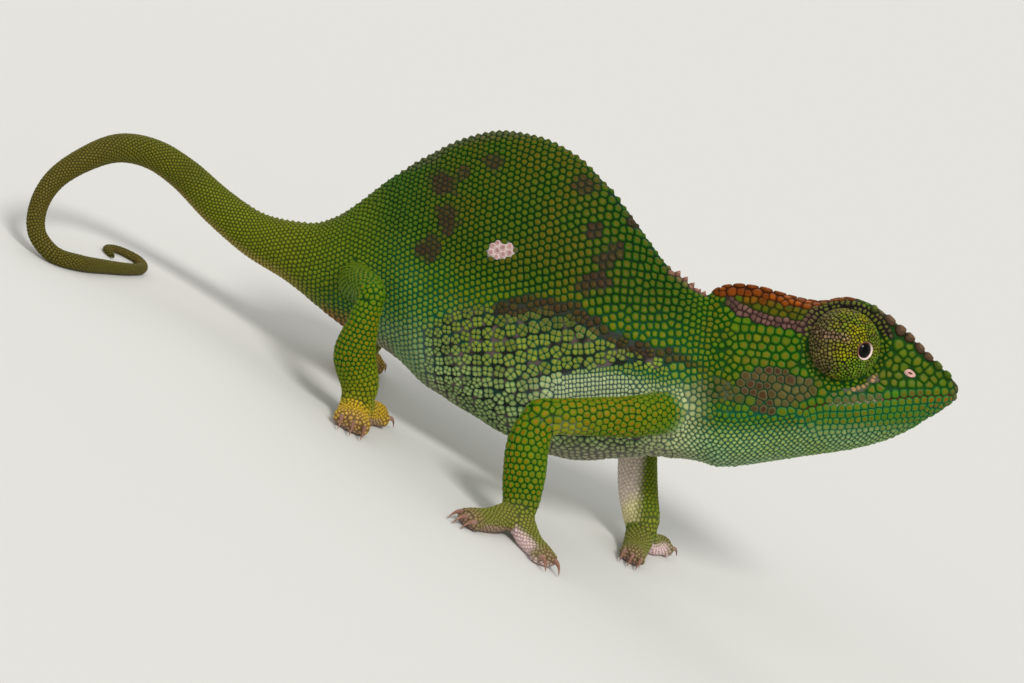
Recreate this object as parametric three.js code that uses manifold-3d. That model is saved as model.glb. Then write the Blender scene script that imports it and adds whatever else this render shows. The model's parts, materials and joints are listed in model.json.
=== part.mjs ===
// A life-size still model of a hornless female three-horned chameleon, standing on a flat floor.
// Millimetres, +X towards the head, +Y to the animal's left, +Z up; the floor is Z = 0.
// The body is a set of lofts: an axial loft from the throat to the tail tip, a head loft in the head's own
// tilted frame, and two lofts plus two toe bundles for each leg. They are joined, then parted by thin cuts.
import * as THREE from "three";
import { mergeVertices } from "three/addons/utils/BufferGeometryUtils.js";
import Module from "manifold-3d";

const wasm = await Module();
wasm.setup();

// ---------------------------------------------------------------- driving sizes
const CUT = 0.32; // width of the thin cuts that part the body, and the clearance round each eye
const TRUNK_UP = [-0.47, 0.08, 0.88]; // the trunk's sections lean back and a little to the left
const BELLY_FULLNESS = 0.2; // how far the widest point of a trunk section sits below its middle
const BACK_SHARPNESS = 0.2; // how far the back narrows to its ridge

// The axial body, from inside the throat to the tail tip: name, centre x, y, z, half height, half width.
const SPINE = [
  ["throat", 33.5, 2.9, 31.2, 10.6, 5.9],
  ["neck", 28.0, 2.6, 29.7, 12.2, 6.7],
  ["nape", 24.0, 2.5, 29.0, 13.5, 7.1],
  ["shoulder", 19.35, 2.5, 28.65, 15.3, 7.8],
  ["withers", 14.45, 2.5, 28.95, 18.3, 8.6],
  ["ribs_1", 9.55, 2.5, 28.85, 21.1, 9.3],
  ["ribs_2", 4.8, 2.5, 28.5, 23.0, 9.8],
  ["hump", -0.5, 2.4, 27.8, 23.4, 10.0],
  ["belly", -6.1, 2.3, 26.8, 22.6, 10.0],
  ["flank", -11.3, 2.2, 25.1, 20.7, 9.7],
  ["loin", -16.1, 2.0, 22.9, 18.0, 9.1],
  ["hip", -20.5, 1.9, 21.2, 14.6, 8.3],
  ["pelvis", -24.0, 1.7, 19.0, 11.8, 7.4],
  ["vent", -27.4, 1.4, 16.6, 9.3, 6.4],
  ["tail_root", -30.9, 1.3, 15.4, 7.0, 5.3],
  ["tail_a", -34.9, 1.3, 14.6, 5.1, 4.2],
  ["tail_b", -42.6, 1.9, 13.4, 3.7, 3.3],
  ["tail_c", -49.5, 1.0, 14.4, 3.2, 2.9],
  ["tail_d", -56.0, -2.0, 16.7, 2.8, 2.6],
  ["tail_e", -60.8, -6.0, 17.8, 2.6, 2.4],
  ["tail_f", -64.6, -11.0, 17.1, 2.45, 2.3],
  ["tail_g", -67.1, -16.0, 14.2, 2.15, 2.05],
  ["tail_h", -68.7, -20.2, 10.2, 1.85, 1.8],
  ["tail_i", -68.3, -23.1, 6.2, 1.62, 1.6],
  ["tail_j", -66.2, -24.7, 2.9, 1.52, 1.52],
  ["tail_k", -62.6, -24.5, 1.36, 1.44, 1.45],
  ["tail_l", -59.6, -20.6, 1.22, 1.34, 1.34],
  ["tail_m", -57.3, -13.8, 1.04, 1.16, 1.16],
  ["tail_n", -55.4, -7.0, 0.9, 1.0, 1.0],
  ["tail_o", -54.9, -2.0, 0.78, 0.88, 0.88],
  ["tail_p", -56.9, 1.2, 0.68, 0.78, 0.78],
  ["tail_q", -60.2, 0.6, 0.6, 0.7, 0.7],
  ["tail_r", -61.2, -2.3, 0.54, 0.62, 0.62],
  ["tail_tip", -59.4, -4.0, 0.46, 0.52, 0.52],
];

// The head's frame: its origin in the neck, the direction of the snout, and the direction of the crown.
const HEAD_ORIGIN = [27.3, 2.5, 28.9];
const HEAD_FORWARD = [0.8515, 0.2256, 0.4733];
const HEAD_UP = [-0.5064, 0.12, 0.8539];
// Sections of the head, along the snout: distance, crown height, crest half width and height, cheek half
// width and height, lip half width and height, throat half width, and the depth of the throat.
const HEAD = [
  [-5.0, 11.6, 3.4, 9.8, 5.9, 3.0, 6.0, -4.2, 4.2, -11.0],
  [0.6, 12.2, 2.2, 11.2, 6.1, 3.2, 6.5, -4.8, 4.6, -12.3],
  [2.2, 13.9, 1.9, 12.4, 6.3, 3.6, 6.7, -5.0, 4.8, -12.8],
  [4.2, 14.6, 2.4, 12.1, 6.5, 3.8, 6.9, -5.1, 4.9, -12.9],
  [8.0, 14.45, 3.7, 10.1, 6.7, 3.4, 7.1, -4.9, 4.9, -12.5],
  [13.0, 13.1, 4.9, 8.6, 6.5, 2.8, 7.1, -4.4, 4.8, -11.7],
  [18.0, 12.1, 5.4, 9.2, 5.9, 2.4, 6.8, -3.6, 4.6, -11.0],
  [22.0, 12.6, 5.2, 11.1, 5.5, 2.2, 6.3, -3.3, 4.3, -10.4],
  [26.0, 11.2, 4.8, 10.1, 5.1, 2.0, 5.7, -2.9, 3.9, -9.5],
  [30.0, 7.9, 4.1, 7.1, 4.5, 1.5, 4.9, -2.5, 3.3, -8.0],
  [34.0, 3.9, 3.2, 3.3, 3.6, 0.3, 3.8, -2.2, 2.5, -5.8],
  [36.8, 1.1, 2.1, 0.8, 2.5, -0.7, 2.7, -2.1, 1.8, -4.0],
  [38.3, -0.5, 0.9, -0.6, 1.2, -1.3, 1.3, -2.0, 0.9, -2.9],
];

// The eye turrets, in the head's frame (forward, left, up), and the way each one looks.
const EYE_CENTRE = [21.1, 4.4, 5.4];
const EYE_RADIUS = 5.45;
const EYE_LOOK = [0.545, 0.822, -0.165];
const PUPIL_RADIUS = 1.35;
const SEPTUM = 0.7; // half the wall between the two sockets

// Legs: joints in order from inside the body to the palm, with the half width seen from the side and the half
// thickness at each; then the inner and outer toe bundles, each a middle and an end, and the claws on each.
const LEGS = {
  arm_right: {
    upper: [[27.2, -2.6, 24.6, 3.6, 2.9], [22.6, -9.4, 21.8, 3.25, 2.8], [16.4, -14.8, 18.9, 2.9, 2.7], [11.6, -18.0, 16.6, 2.7, 2.6]],
    lower: [[11.6, -18.0, 16.6, 2.75, 2.6], [12.0, -19.1, 12.6, 3.25, 2.6], [13.8, -19.9, 8.4, 3.35, 2.5], [15.5, -20.6, 4.6, 2.9, 2.35]],
    palm: [15.9, -21.2, 3.2],
    inner: { mid: [13.6, -26.2], end: [11.7, -30.4], claws: 3, wide: 1.95, deep: 1.8 },
    outer: { mid: [19.7, -24.4], end: [22.9, -27.4], claws: 2, wide: 1.8, deep: 1.75 },
  },
  arm_left: {
    upper: [[26.6, 4.6, 24.4, 3.5, 2.8], [25.4, 10.6, 21.4, 3.1, 2.7], [23.2, 14.2, 18.0, 2.8, 2.6], [21.8, 15.8, 15.0, 2.7, 2.6]],
    lower: [[21.8, 15.8, 15.0, 2.8, 2.6], [23.8, 13.2, 11.4, 3.25, 2.5], [26.7, 10.3, 7.6, 3.3, 2.4], [29.5, 8.2, 4.6, 3.0, 2.3]],
    palm: [30.3, 7.7, 3.2],
    inner: { mid: [31.2, 3.6], end: [31.6, 0.2], claws: 3, wide: 1.9, deep: 1.8 },
    outer: { mid: [32.0, 11.2], end: [33.4, 14.3], claws: 2, wide: 1.75, deep: 1.75 },
  },
  leg_right: {
    upper: [[-25.6, -1.0, 16.6, 3.3, 3.0], [-23.4, -7.4, 17.2, 3.0, 2.8], [-21.0, -12.0, 18.4, 2.5, 2.5], [-19.4, -15.0, 18.6, 2.1, 2.2]],
    lower: [[-19.4, -15.0, 18.6, 2.05, 2.2], [-18.5, -15.4, 14.0, 2.6, 2.5], [-17.4, -15.1, 9.4, 3.4, 2.7], [-14.9, -14.2, 5.9, 3.1, 2.5]],
    palm: [-14.0, -13.8, 3.5],
    inner: { mid: [-12.7, -10.3], end: [-11.6, -8.0], claws: 2, wide: 1.9, deep: 2.1 },
    outer: { mid: [-13.2, -16.2], end: [-12.5, -18.4], claws: 3, wide: 2.6, deep: 2.1 },
  },
  leg_left: {
    upper: [[-25.4, 4.0, 16.6, 3.3, 3.0], [-24.6, 9.6, 17.2, 3.0, 2.8], [-23.2, 14.0, 18.2, 2.5, 2.5], [-22.2, 16.8, 18.2, 2.1, 2.2]],
    lower: [[-22.2, 16.8, 18.2, 2.05, 2.2], [-22.4, 16.8, 14.4, 2.6, 2.5], [-22.4, 15.4, 10.0, 3.3, 2.7], [-22.0, 13.4, 6.2, 3.1, 2.5]],
    palm: [-21.8, 13.0, 3.6],
    inner: { mid: [-20.9, 9.9], end: [-20.2, 7.6], claws: 2, wide: 1.9, deep: 2.1 },
    outer: { mid: [-21.6, 16.0], end: [-21.0, 18.6], claws: 3, wide: 2.6, deep: 2.1 },
  },
};
const SINK = 0.35; // how far the round undersides of the toes would reach below the floor, where the flats are cut
const CLAW_LENGTH = 2.5;
const CLAW_RADIUS = 0.47;

// Facets: stations and sides of each loft.
const AXIS_STEPS = 27, AXIS_SIDES = 18, TAIL_SIDES = 9;
const HEAD_STEPS = 18, HEAD_HALF = 8;
const LIMB_STEPS = 5, LIMB_SIDES = 8;
const TOE_STEPS = 3, TOE_SIDES = 8;
const EYE_SIDES = 12;

// ---------------------------------------------------------------- small vector and curve helpers
const V = (a) => new THREE.Vector3(a[0], a[1], a[2]);
const mix = (a, b, t) => a + (b - a) * t;
const smooth = (t) => { const c = Math.min(1, Math.max(0, t)); return c * c * (3 - 2 * c); };

// Smooth interpolation of rows of numbers: cubic Hermite with chord-length knots, at u from 0 to rows.length - 1.
function hermite(rows, knots, u) {
  const n = rows.length;
  const i = Math.min(n - 2, Math.max(0, Math.floor(u)));
  const t = u - i;
  const slope = (k) => {
    const a = Math.max(0, k - 1), b = Math.min(n - 1, k + 1);
    return rows[k].map((_, d) => (rows[b][d] - rows[a][d]) / (knots[b] - knots[a]));
  };
  const h = knots[i + 1] - knots[i], s0 = slope(i), s1 = slope(i + 1);
  const t2 = t * t, t3 = t2 * t;
  return rows[i].map((p, d) =>
    (2 * t3 - 3 * t2 + 1) * p + (t3 - 2 * t2 + t) * h * s0[d] + (3 * t2 - 2 * t3) * rows[i + 1][d] + (t3 - t2) * h * s1[d]);
}
function chordKnots(rows) {
  const k = [0];
  for (let i = 1; i < rows.length; i++)
    k.push(k[i - 1] + Math.hypot(rows[i][0] - rows[i - 1][0], rows[i][1] - rows[i - 1][1], rows[i][2] - rows[i - 1][2]));
  return k;
}

// A closed loft through rings of points. The first and last ring are closed with a fan.
function loftOf(rings) {
  const m = rings[0].length, pos = [], idx = [];
  for (const r of rings) for (const p of r) pos.push(p.x, p.y, p.z);
  const centre = (r) => r.reduce((s, p) => s.add(p), new THREE.Vector3()).multiplyScalar(1 / m);
  for (let i = 0; i + 1 < rings.length; i++)
    for (let j = 0; j < m; j++) {
      const a = i * m + j, b = i * m + ((j + 1) % m), c = a + m, d = b + m;
      idx.push(a, b, d, a, d, c);
    }
  for (const [ring, flip] of [[0, false], [rings.length - 1, true]]) {
    const c = centre(rings[ring]);
    const k = pos.length / 3;
    pos.push(c.x, c.y, c.z);
    for (let j = 0; j < m; j++) {
      const a = ring * m + j, b = ring * m + ((j + 1) % m);
      if (flip) idx.push(k, a, b); else idx.push(k, b, a);
    }
  }
  const g = new THREE.BufferGeometry();
  g.setAttribute("position", new THREE.BufferAttribute(new Float32Array(pos), 3));
  g.setIndex(idx);
  return g;
}

function solid(geometry) {
  const g = geometry.clone();
  for (const k of Object.keys(g.attributes)) if (k !== "position") g.deleteAttribute(k);
  const m = mergeVertices(g, 1e-4);
  let tri = new Uint32Array(m.index.array);
  const made = () => new wasm.Manifold(new wasm.Mesh({ numProp: 3, vertProperties: m.attributes.position.array, triVerts: tri }));
  let s = made();
  if (s.volume() < 0) {
    for (let i = 0; i < tri.length; i += 3) [tri[i + 1], tri[i + 2]] = [tri[i + 2], tri[i + 1]];
    s = made();
  }
  return s;
}
function geometryOf(s) {
  const m = s.getMesh(), n = m.numProp, v = new Float32Array(m.numVert * 3);
  for (let i = 0; i < m.numVert; i++) for (let d = 0; d < 3; d++) v[i * 3 + d] = m.vertProperties[i * n + d];
  const g = new THREE.BufferGeometry();
  g.setAttribute("position", new THREE.BufferAttribute(v, 3));
  g.setIndex(new THREE.BufferAttribute(new Uint32Array(m.triVerts), 1));
  g.computeVertexNormals();
  return g;
}
const boxSolid = (size, matrix) => solid(new THREE.BoxGeometry(...size).applyMatrix4(matrix));

// ---------------------------------------------------------------- axial body
const spineRows = SPINE.map((r) => r.slice(1));
const spineKnots = chordKnots(spineRows);
function spineFrames(steps) {
  const total = spineKnots[spineKnots.length - 1], frames = [];
  let seg = 0;
  for (let i = 0; i <= steps; i++) {
    const s = (total * i) / steps;
    while (seg < spineKnots.length - 2 && spineKnots[seg + 1] < s) seg++;
    const u = seg + (s - spineKnots[seg]) / (spineKnots[seg + 1] - spineKnots[seg]);
    const r = hermite(spineRows, spineKnots, u), e = 0.02;
    const a = hermite(spineRows, spineKnots, Math.max(0, u - e)), b = hermite(spineRows, spineKnots, Math.min(spineRows.length - 1, u + e));
    frames.push({ u, s, c: V(r), tall: r[3], wide: r[4], t: V(b).sub(V(a)).normalize() });
  }
  // The trunk keeps its own leaning sections; along the tail they turn to stand square to it.
  const up0 = V(TRUNK_UP).normalize();
  let carried = up0.clone();
  for (const f of frames) {
    carried = carried.clone().addScaledVector(f.t, -carried.dot(f.t)).normalize();
    const k = smooth((f.u - 12) / 4);
    f.up = up0.clone().multiplyScalar(1 - k).addScaledVector(carried, k).normalize();
    f.side = f.up.clone().cross(f.t).normalize(); // the animal's right, because the loft runs backwards
    const trunk = 1 - smooth((f.u - 11) / 5);
    f.full = BELLY_FULLNESS * trunk;
    f.sharp = BACK_SHARPNESS * trunk + 0.05;
  }
  return frames;
}
const frames = spineFrames(800);
const frameAt = (u) => frames.reduce((best, f) => (Math.abs(f.u - u) < Math.abs(best.u - u) ? f : best));
// Rings from one station number to another, moved in along the axis by half a cut at each end where asked.
function axialRings(fromU, toU, steps, sides, grow = 0, inset = 0) {
  const s0 = frameAt(fromU).s + inset, s1 = frameAt(toU).s - inset, rings = [];
  for (let i = 0; i <= steps; i++) {
    const s = mix(s0, s1, i / steps);
    const f = frames[Math.round((s / frames[frames.length - 1].s) * (frames.length - 1))];
    const ring = [];
    for (let j = 0; j < sides; j++) {
      const a = (2 * Math.PI * j) / sides, c = Math.cos(a), d = Math.sin(a);
      const w = (f.wide + grow) * c * (1 - f.full * d - f.sharp * Math.max(0, d) ** 2);
      ring.push(f.c.clone().addScaledVector(f.side, w).addScaledVector(f.up, (f.tall + grow) * d));
    }
    rings.push(ring);
  }
  return rings;
}

// ---------------------------------------------------------------- head
const headX = V(HEAD_FORWARD).normalize();
const headZ = V(HEAD_UP).addScaledVector(headX, -V(HEAD_UP).dot(headX)).normalize();
const headY = headZ.clone().cross(headX); // the animal's left
const headPoint = (f, l, u) => V(HEAD_ORIGIN).addScaledVector(headX, f).addScaledVector(headY, l).addScaledVector(headZ, u);
function headRings(steps, half, grow = 0) {
  const knots = HEAD.map((r) => r[0]), rings = [];
  const first = knots[0], last = knots[knots.length - 1];
  for (let i = 0; i <= steps; i++) {
    const t = i / steps, x = mix(first, last, 1 - (1 - t) ** 1.25);
    let seg = 0;
    while (seg < knots.length - 2 && knots[seg + 1] < x) seg++;
    const r = hermite(HEAD, knots, seg + (x - knots[seg]) / (knots[seg + 1] - knots[seg]));
    const [, top, crestW, crestZ, cheekW, cheekZ, lipW, lipZ, throatW, bottom] = r;
    const side = [[0, top], [crestW, crestZ], [cheekW, cheekZ], [lipW, lipZ], [throatW, mix(lipZ, bottom, 0.62)], [0, bottom]];
    const full = [[-side[1][0], side[1][1]], ...side, [-side[4][0], side[4][1]]];
    const k = [0];
    for (let q = 1; q < full.length; q++) k.push(k[q - 1] + Math.hypot(full[q][0] - full[q - 1][0], full[q][1] - full[q - 1][1]));
    const left = [];
    for (let j = 0; j <= half; j++) {
      const d = k[1] + ((k[6] - k[1]) * j) / half;
      let q = 1;
      while (q < 5 && k[q + 1] < d) q++;
      left.push(hermite(full, k, q + (d - k[q]) / (k[q + 1] - k[q])));
    }
    left[0][0] = 0;
    left[half][0] = 0;
    const middle = (left[0][1] + left[half][1]) / 2;
    for (const p of left) {
      const d = Math.hypot(p[0], p[1] - middle) || 1;
      p[1] += (grow * (p[1] - middle)) / d;
      p[0] += (grow * p[0]) / d;
    }
    const ring = left.map(([y, z]) => headPoint(r[0], Math.max(0, y), z));
    for (let j = half - 1; j > 0; j--) ring.push(headPoint(r[0], -Math.max(0, left[j][0]), left[j][1]));
    rings.push(ring);
  }
  return rings;
}

// ---------------------------------------------------------------- limbs
// A tapered tube with round ends through rows [x, y, z, half width, half thickness]. The half width lies in the
// upright plane along the limb, seen from the side; the half thickness lies across it.
function limbRings(rows, steps, sides, across, grow = 0) {
  const knots = chordKnots(rows), total = knots[knots.length - 1], rings = [];
  const frame = (s) => {
    let seg = 0;
    while (seg < knots.length - 2 && knots[seg + 1] < s) seg++;
    const u = seg + (s - knots[seg]) / (knots[seg + 1] - knots[seg]);
    const r = hermite(rows, knots, u);
    const a = hermite(rows, knots, Math.max(0, u - 0.02)), b = hermite(rows, knots, Math.min(rows.length - 1, u + 0.02));
    return { c: V(r), w: r[3] + grow, d: r[4] + grow, t: V(b).sub(V(a)).normalize() };
  };
  const ringAt = (f, k) => {
    const q = V(across).addScaledVector(f.t, -V(across).dot(f.t)).normalize(), p = f.t.clone().cross(q);
    const ring = [];
    for (let j = 0; j < sides; j++) {
      const a = (2 * Math.PI * j) / sides;
      ring.push(f.c.clone().addScaledVector(p, f.w * k * Math.cos(a)).addScaledVector(q, f.d * k * Math.sin(a)));
    }
    return ring;
  };
  const capAngles = [68, 34];
  const f0 = frame(0), f1 = frame(total);
  for (const deg of capAngles) {
    const a = (deg * Math.PI) / 180, r = Math.min(f0.w, f0.d);
    rings.push(ringAt({ ...f0, c: f0.c.clone().addScaledVector(f0.t, -r * Math.sin(a)) }, Math.cos(a)));
  }
  for (let i = 0; i <= steps; i++) rings.push(ringAt(frame((total * i) / steps), 1));
  for (const deg of [...capAngles].reverse()) {
    const a = (deg * Math.PI) / 180, r = Math.min(f1.w, f1.d);
    rings.push(ringAt({ ...f1, c: f1.c.clone().addScaledVector(f1.t, r * Math.sin(a)) }, Math.cos(a)));
  }
  return rings;
}

// ---------------------------------------------------------------- assembly
const animal = new THREE.Group();
const skinMaterial = (hex) => new THREE.MeshStandardMaterial({ color: hex, roughness: 0.55, metalness: 0 });
const BODY_GREEN = 0x3f7a14, LIMB_GREEN = 0x4f8a14, HEAD_GREEN = 0x467d1c, TAIL_GREEN = 0x5b7d2a, EYE_GREEN = 0x7c8a2c;
const clawMaterial = new THREE.MeshStandardMaterial({ color: 0x9a6a55, roughness: 0.35, metalness: 0 });
const pupilMaterial = new THREE.MeshStandardMaterial({ color: 0x050404, roughness: 0.05, metalness: 0 });
function addNode(name, s, material) {
  const mesh = new THREE.Mesh(geometryOf(s), material);
  mesh.name = name;
  animal.add(mesh);
}
const largest = (s) => s.decompose().sort((a, b) => b.volume() - a.volume())[0];

// A thin slab square to a direction, to part a limb or the body.
function slab(at, direction, size = 14, thick = CUT) {
  const q = new THREE.Quaternion().setFromUnitVectors(new THREE.Vector3(0, 0, 1), V(direction).normalize());
  return boxSolid([size, size, thick], new THREE.Matrix4().compose(V(at), q, new THREE.Vector3(1, 1, 1)));
}
// The half space in front of a plane, as a large block.
function ahead(at, direction, reach = 160) {
  const d = V(direction).normalize(), q = new THREE.Quaternion().setFromUnitVectors(new THREE.Vector3(0, 0, 1), d);
  return boxSolid([reach, reach, reach], new THREE.Matrix4().compose(V(at).addScaledVector(d, reach / 2 + CUT / 2), q, new THREE.Vector3(1, 1, 1)));
}
const floorBlock = boxSolid([400, 400, 40], new THREE.Matrix4().makeTranslation(0, 0, -20));

const TRUNK_END = 13.7; // station of the tail root
const axial = solid(loftOf(axialRings(0, 15, AXIS_STEPS, AXIS_SIDES)));
const axialGrown = solid(loftOf(axialRings(0, 15, AXIS_STEPS, AXIS_SIDES, CUT)));
const head = solid(loftOf(headRings(HEAD_STEPS, HEAD_HALF)));
const headGrown = solid(loftOf(headRings(HEAD_STEPS, HEAD_HALF, CUT)));
let body = axial.add(head);

// Eyes: a round turret on each side, sunk in the head, with a small wet pupil in its open tip.
const ballAt = (centre, radius, segments) => solid(new THREE.SphereGeometry(radius, segments, Math.round(segments / 2)).translate(centre.x, centre.y, centre.z));
for (const [side, s] of [["left", 1], ["right", -1]]) {
  const c = headPoint(EYE_CENTRE[0], s * EYE_CENTRE[1], EYE_CENTRE[2]);
  const look = headX.clone().multiplyScalar(EYE_LOOK[0]).addScaledVector(headY, s * EYE_LOOK[1]).addScaledVector(headZ, EYE_LOOK[2]).normalize();
  const outward = headY.clone().multiplyScalar(s).toArray();
  const septum = (half) => ahead(headPoint(EYE_CENTRE[0], s * half, EYE_CENTRE[2]).toArray(), outward, 60);
  body = body.subtract(ballAt(c, EYE_RADIUS + CUT, EYE_SIDES).intersect(septum(SEPTUM)));
  const pupilAt = c.clone().addScaledVector(look, EYE_RADIUS - PUPIL_RADIUS * 0.8);
  addNode("eye_" + side, largest(ballAt(c, EYE_RADIUS, EYE_SIDES).intersect(septum(SEPTUM + CUT)).subtract(ballAt(pupilAt, PUPIL_RADIUS + CUT, 10))), skinMaterial(EYE_GREEN));
  addNode("pupil_" + side, ballAt(pupilAt, PUPIL_RADIUS, 10), pupilMaterial);
}

// Parting planes across the head and the trunk.
const trunkNormal = V(TRUNK_UP).cross(new THREE.Vector3(0, -1, 0)).normalize();
const cuts = [
  { name: "head", p: headPoint(3.2, 0, 0).toArray(), d: headX.clone().addScaledVector(headZ, 0.28).normalize().toArray(), tint: HEAD_GREEN },
  { name: "neck", p: frameAt(2.6).c.toArray(), d: trunkNormal.toArray(), tint: BODY_GREEN },
  { name: "trunk", p: frameAt(TRUNK_END).c.toArray(), d: trunkNormal.toArray(), tint: BODY_GREEN },
];
let rest = body;
for (const c of cuts) {
  addNode(c.name, largest(rest.intersect(ahead(c.p, c.d))), skinMaterial(c.tint));
  rest = largest(rest.intersect(ahead(c.p, V(c.d).negate().toArray())));
}
// The tail: eight lengths, the first of them cut square to the trunk's sections.
const TAIL_STATIONS = [15, 17.2, 19.4, 21.2, 23, 24.9, 27.3, SPINE.length - 1];
addNode("tail_1", rest.intersect(solid(loftOf(axialRings(11, TAIL_STATIONS[0], 10, AXIS_SIDES, 1, CUT / 2)))), skinMaterial(TAIL_GREEN));
for (let i = 0; i + 1 < TAIL_STATIONS.length; i++) {
  const last = i + 2 === TAIL_STATIONS.length, sides = i < 4 ? TAIL_SIDES : TAIL_SIDES - 2;
  const length = axialRings(TAIL_STATIONS[i], TAIL_STATIONS[i + 1], last ? 11 : 7, sides, 0, CUT / 2);
  addNode("tail_" + (i + 2), solid(loftOf(length)).subtract(floorBlock), skinMaterial(TAIL_GREEN));
}

// Legs.
for (const [name, leg] of Object.entries(LEGS)) {
  const isArm = name.startsWith("arm"), side = name.endsWith("left") ? 1 : -1;
  const across = [0, 1, 0.15];
  const upperSolid = solid(loftOf(limbRings(leg.upper, LIMB_STEPS, LIMB_SIDES, across)));
  const lowerSolid = solid(loftOf(limbRings([...leg.lower, [...leg.palm, leg.lower[3][3] * 0.86, leg.lower[3][4] * 0.95]], LIMB_STEPS, LIMB_SIDES, across)));
  const toe = (b) => solid(loftOf(limbRings(toeRows(leg, b), TOE_STEPS, TOE_SIDES, [0, 0, 1])));
  let whole = upperSolid.add(lowerSolid).add(toe(leg.inner)).add(toe(leg.outer)).subtract(floorBlock);
  whole = largest(whole.subtract(axialGrown).subtract(headGrown));
  // Part at the elbow or knee, at the wrist or ankle, and between the two bundles.
  const knee = V(leg.lower[0]), hip = V(leg.upper[2]), shin = V(leg.lower[1]), wrist = V(leg.lower[3]), palm = V(leg.palm);
  const bend = shin.clone().sub(knee).normalize().add(knee.clone().sub(hip).normalize()).normalize();
  const split = (s, p, d, size) => {
    const parts = s.subtract(slab(p.toArray(), d.toArray(), size)).decompose().filter((m) => m.volume() > 0.2);
    const mid = (m) => { const b = m.boundingBox(); return new THREE.Vector3(...[0, 1, 2].map((k) => (b.min[k] + b.max[k]) / 2)); };
    const front = parts.filter((m) => mid(m).sub(p).dot(d) > 0).sort((a, b) => b.volume() - a.volume())[0];
    const back = parts.filter((m) => mid(m).sub(p).dot(d) <= 0).sort((a, b) => b.volume() - a.volume())[0];
    return [back, front];
  };
  const [upper, below] = split(whole, knee, bend, 13);
  const wristWay = palm.clone().sub(V(leg.lower[2])).normalize();
  const [lower, foot] = split(below, wrist.clone().addScaledVector(wristWay, -0.4), wristWay, 12);
  const apart = toeWay(leg, leg.outer).sub(toeWay(leg, leg.inner)).normalize();
  const [inner, outer] = split(foot, palm, apart, 30);
  addNode((isArm ? "upper_arm_" : "thigh_") + (side > 0 ? "left" : "right"), upper, skinMaterial(LIMB_GREEN));
  addNode((isArm ? "forearm_" : "shin_") + (side > 0 ? "left" : "right"), lower, skinMaterial(LIMB_GREEN));
  const footName = (isArm ? "hand_" : "foot_") + (side > 0 ? "left" : "right");
  addNode(footName + "_inner", inner, skinMaterial(LIMB_GREEN));
  addNode(footName + "_outer", outer, skinMaterial(LIMB_GREEN));
  // Claws: short curved cones set side by side in the end of each bundle, just clear of it.
  for (const [which, b] of [["inner", leg.inner], ["outer", leg.outer]]) {
    const [, mid, end] = toeRows(leg, b).map(V), way = end.clone().sub(mid).setZ(0).normalize(), over = new THREE.Vector3(0, 0, 1).cross(way).normalize();
    const spread = b.wide * 0.72;
    for (let k = 0; k < b.claws; k++) {
      const o = b.claws === 1 ? 0 : mix(-spread, spread, k / (b.claws - 1));
      const reach = Math.sqrt(Math.max(0.05, 1 - (o / (b.wide * 1.02)) ** 2)) * Math.min(b.wide, b.deep * 0.92);
      const root = end.clone().addScaledVector(over, o).addScaledVector(way, reach * 0.93 + CUT * 0.5);
      const rows = [
        [...root.setZ(b.deep * 0.82).toArray(), CLAW_RADIUS, CLAW_RADIUS],
        [...root.clone().addScaledVector(way, CLAW_LENGTH * 0.5).setZ(b.deep * 0.76).toArray(), CLAW_RADIUS * 0.72, CLAW_RADIUS * 0.72],
        [...root.clone().addScaledVector(way, CLAW_LENGTH * 0.9).setZ(0.45).toArray(), 0.16, 0.16],
      ];
      const claw = solid(loftOf(clawRings(rows)));
      addNode(footName + "_claw_" + which + "_" + (k + 1), largest(claw.subtract(growToe(leg, b))), clawMaterial);
    }
  }
}
function clawRings(rows) {
  const knots = chordKnots(rows), total = knots[2], rings = [];
  for (let i = 0; i <= 4; i++) {
    const s = (total * i) / 4, seg = s > knots[1] ? 1 : 0, u = seg + (s - knots[seg]) / (knots[seg + 1] - knots[seg]);
    const r = hermite(rows, knots, u), a = hermite(rows, knots, Math.max(0, u - 0.02)), b = hermite(rows, knots, Math.min(2, u + 0.02));
    const t = V(b).sub(V(a)).normalize(), q = new THREE.Vector3(0, 0, 1).addScaledVector(t, -t.z).normalize(), p = t.clone().cross(q), ring = [];
    for (let j = 0; j < 6; j++) {
      const g = (Math.PI * j) / 3;
      ring.push(V(r).addScaledVector(p, r[3] * Math.cos(g)).addScaledVector(q, r[3] * Math.sin(g)));
    }
    rings.push(ring);
  }
  return rings;
}
// The level direction of a toe bundle, away from the palm.
function toeWay(leg, b) {
  return new THREE.Vector3(b.end[0] - leg.palm[0], b.end[1] - leg.palm[1], 0).normalize();
}
// A toe bundle's rows: the palm, its middle and its end, with the undersides just below the floor.
function toeRows(leg, b) {
  const palmWide = leg.lower[3][3] * 0.8;
  return [
    [...leg.palm, palmWide, 2.0],
    [...b.mid, b.deep - SINK, (b.wide + palmWide) / 2, b.deep],
    [...b.end, b.deep * 0.92 - SINK, b.wide, b.deep * 0.92],
  ];
}
function growToe(leg, b) {
  return solid(loftOf(limbRings(toeRows(leg, b), TOE_STEPS, TOE_SIDES, [0, 0, 1], CUT)));
}

// The part's origin is under the middle of the animal, on the floor.
animal.updateMatrixWorld(true);
const bounds = new THREE.Box3().setFromObject(animal);
const ORIGIN_X = (bounds.min.x + bounds.max.x) / 2, ORIGIN_Y = (bounds.min.y + bounds.max.y) / 2;
for (const mesh of animal.children) mesh.geometry.translate(-ORIGIN_X, -ORIGIN_Y, -bounds.min.z);


export default animal;
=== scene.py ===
"""Looks for the still chameleon: one skin over the flesh nodes, a coat of solid scales, turrets, pupils and claws.

All shaping is done in millimetres in the animal's own modelling frame (floor at z = 0, head towards +X) and moved to the
row frame in metres when each mesh is made.
"""

import json
import math

import bpy
import numpy as np
from mathutils import Matrix, Vector
from mathutils.bvhtree import BVHTree
from mathutils.kdtree import KDTree

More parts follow.
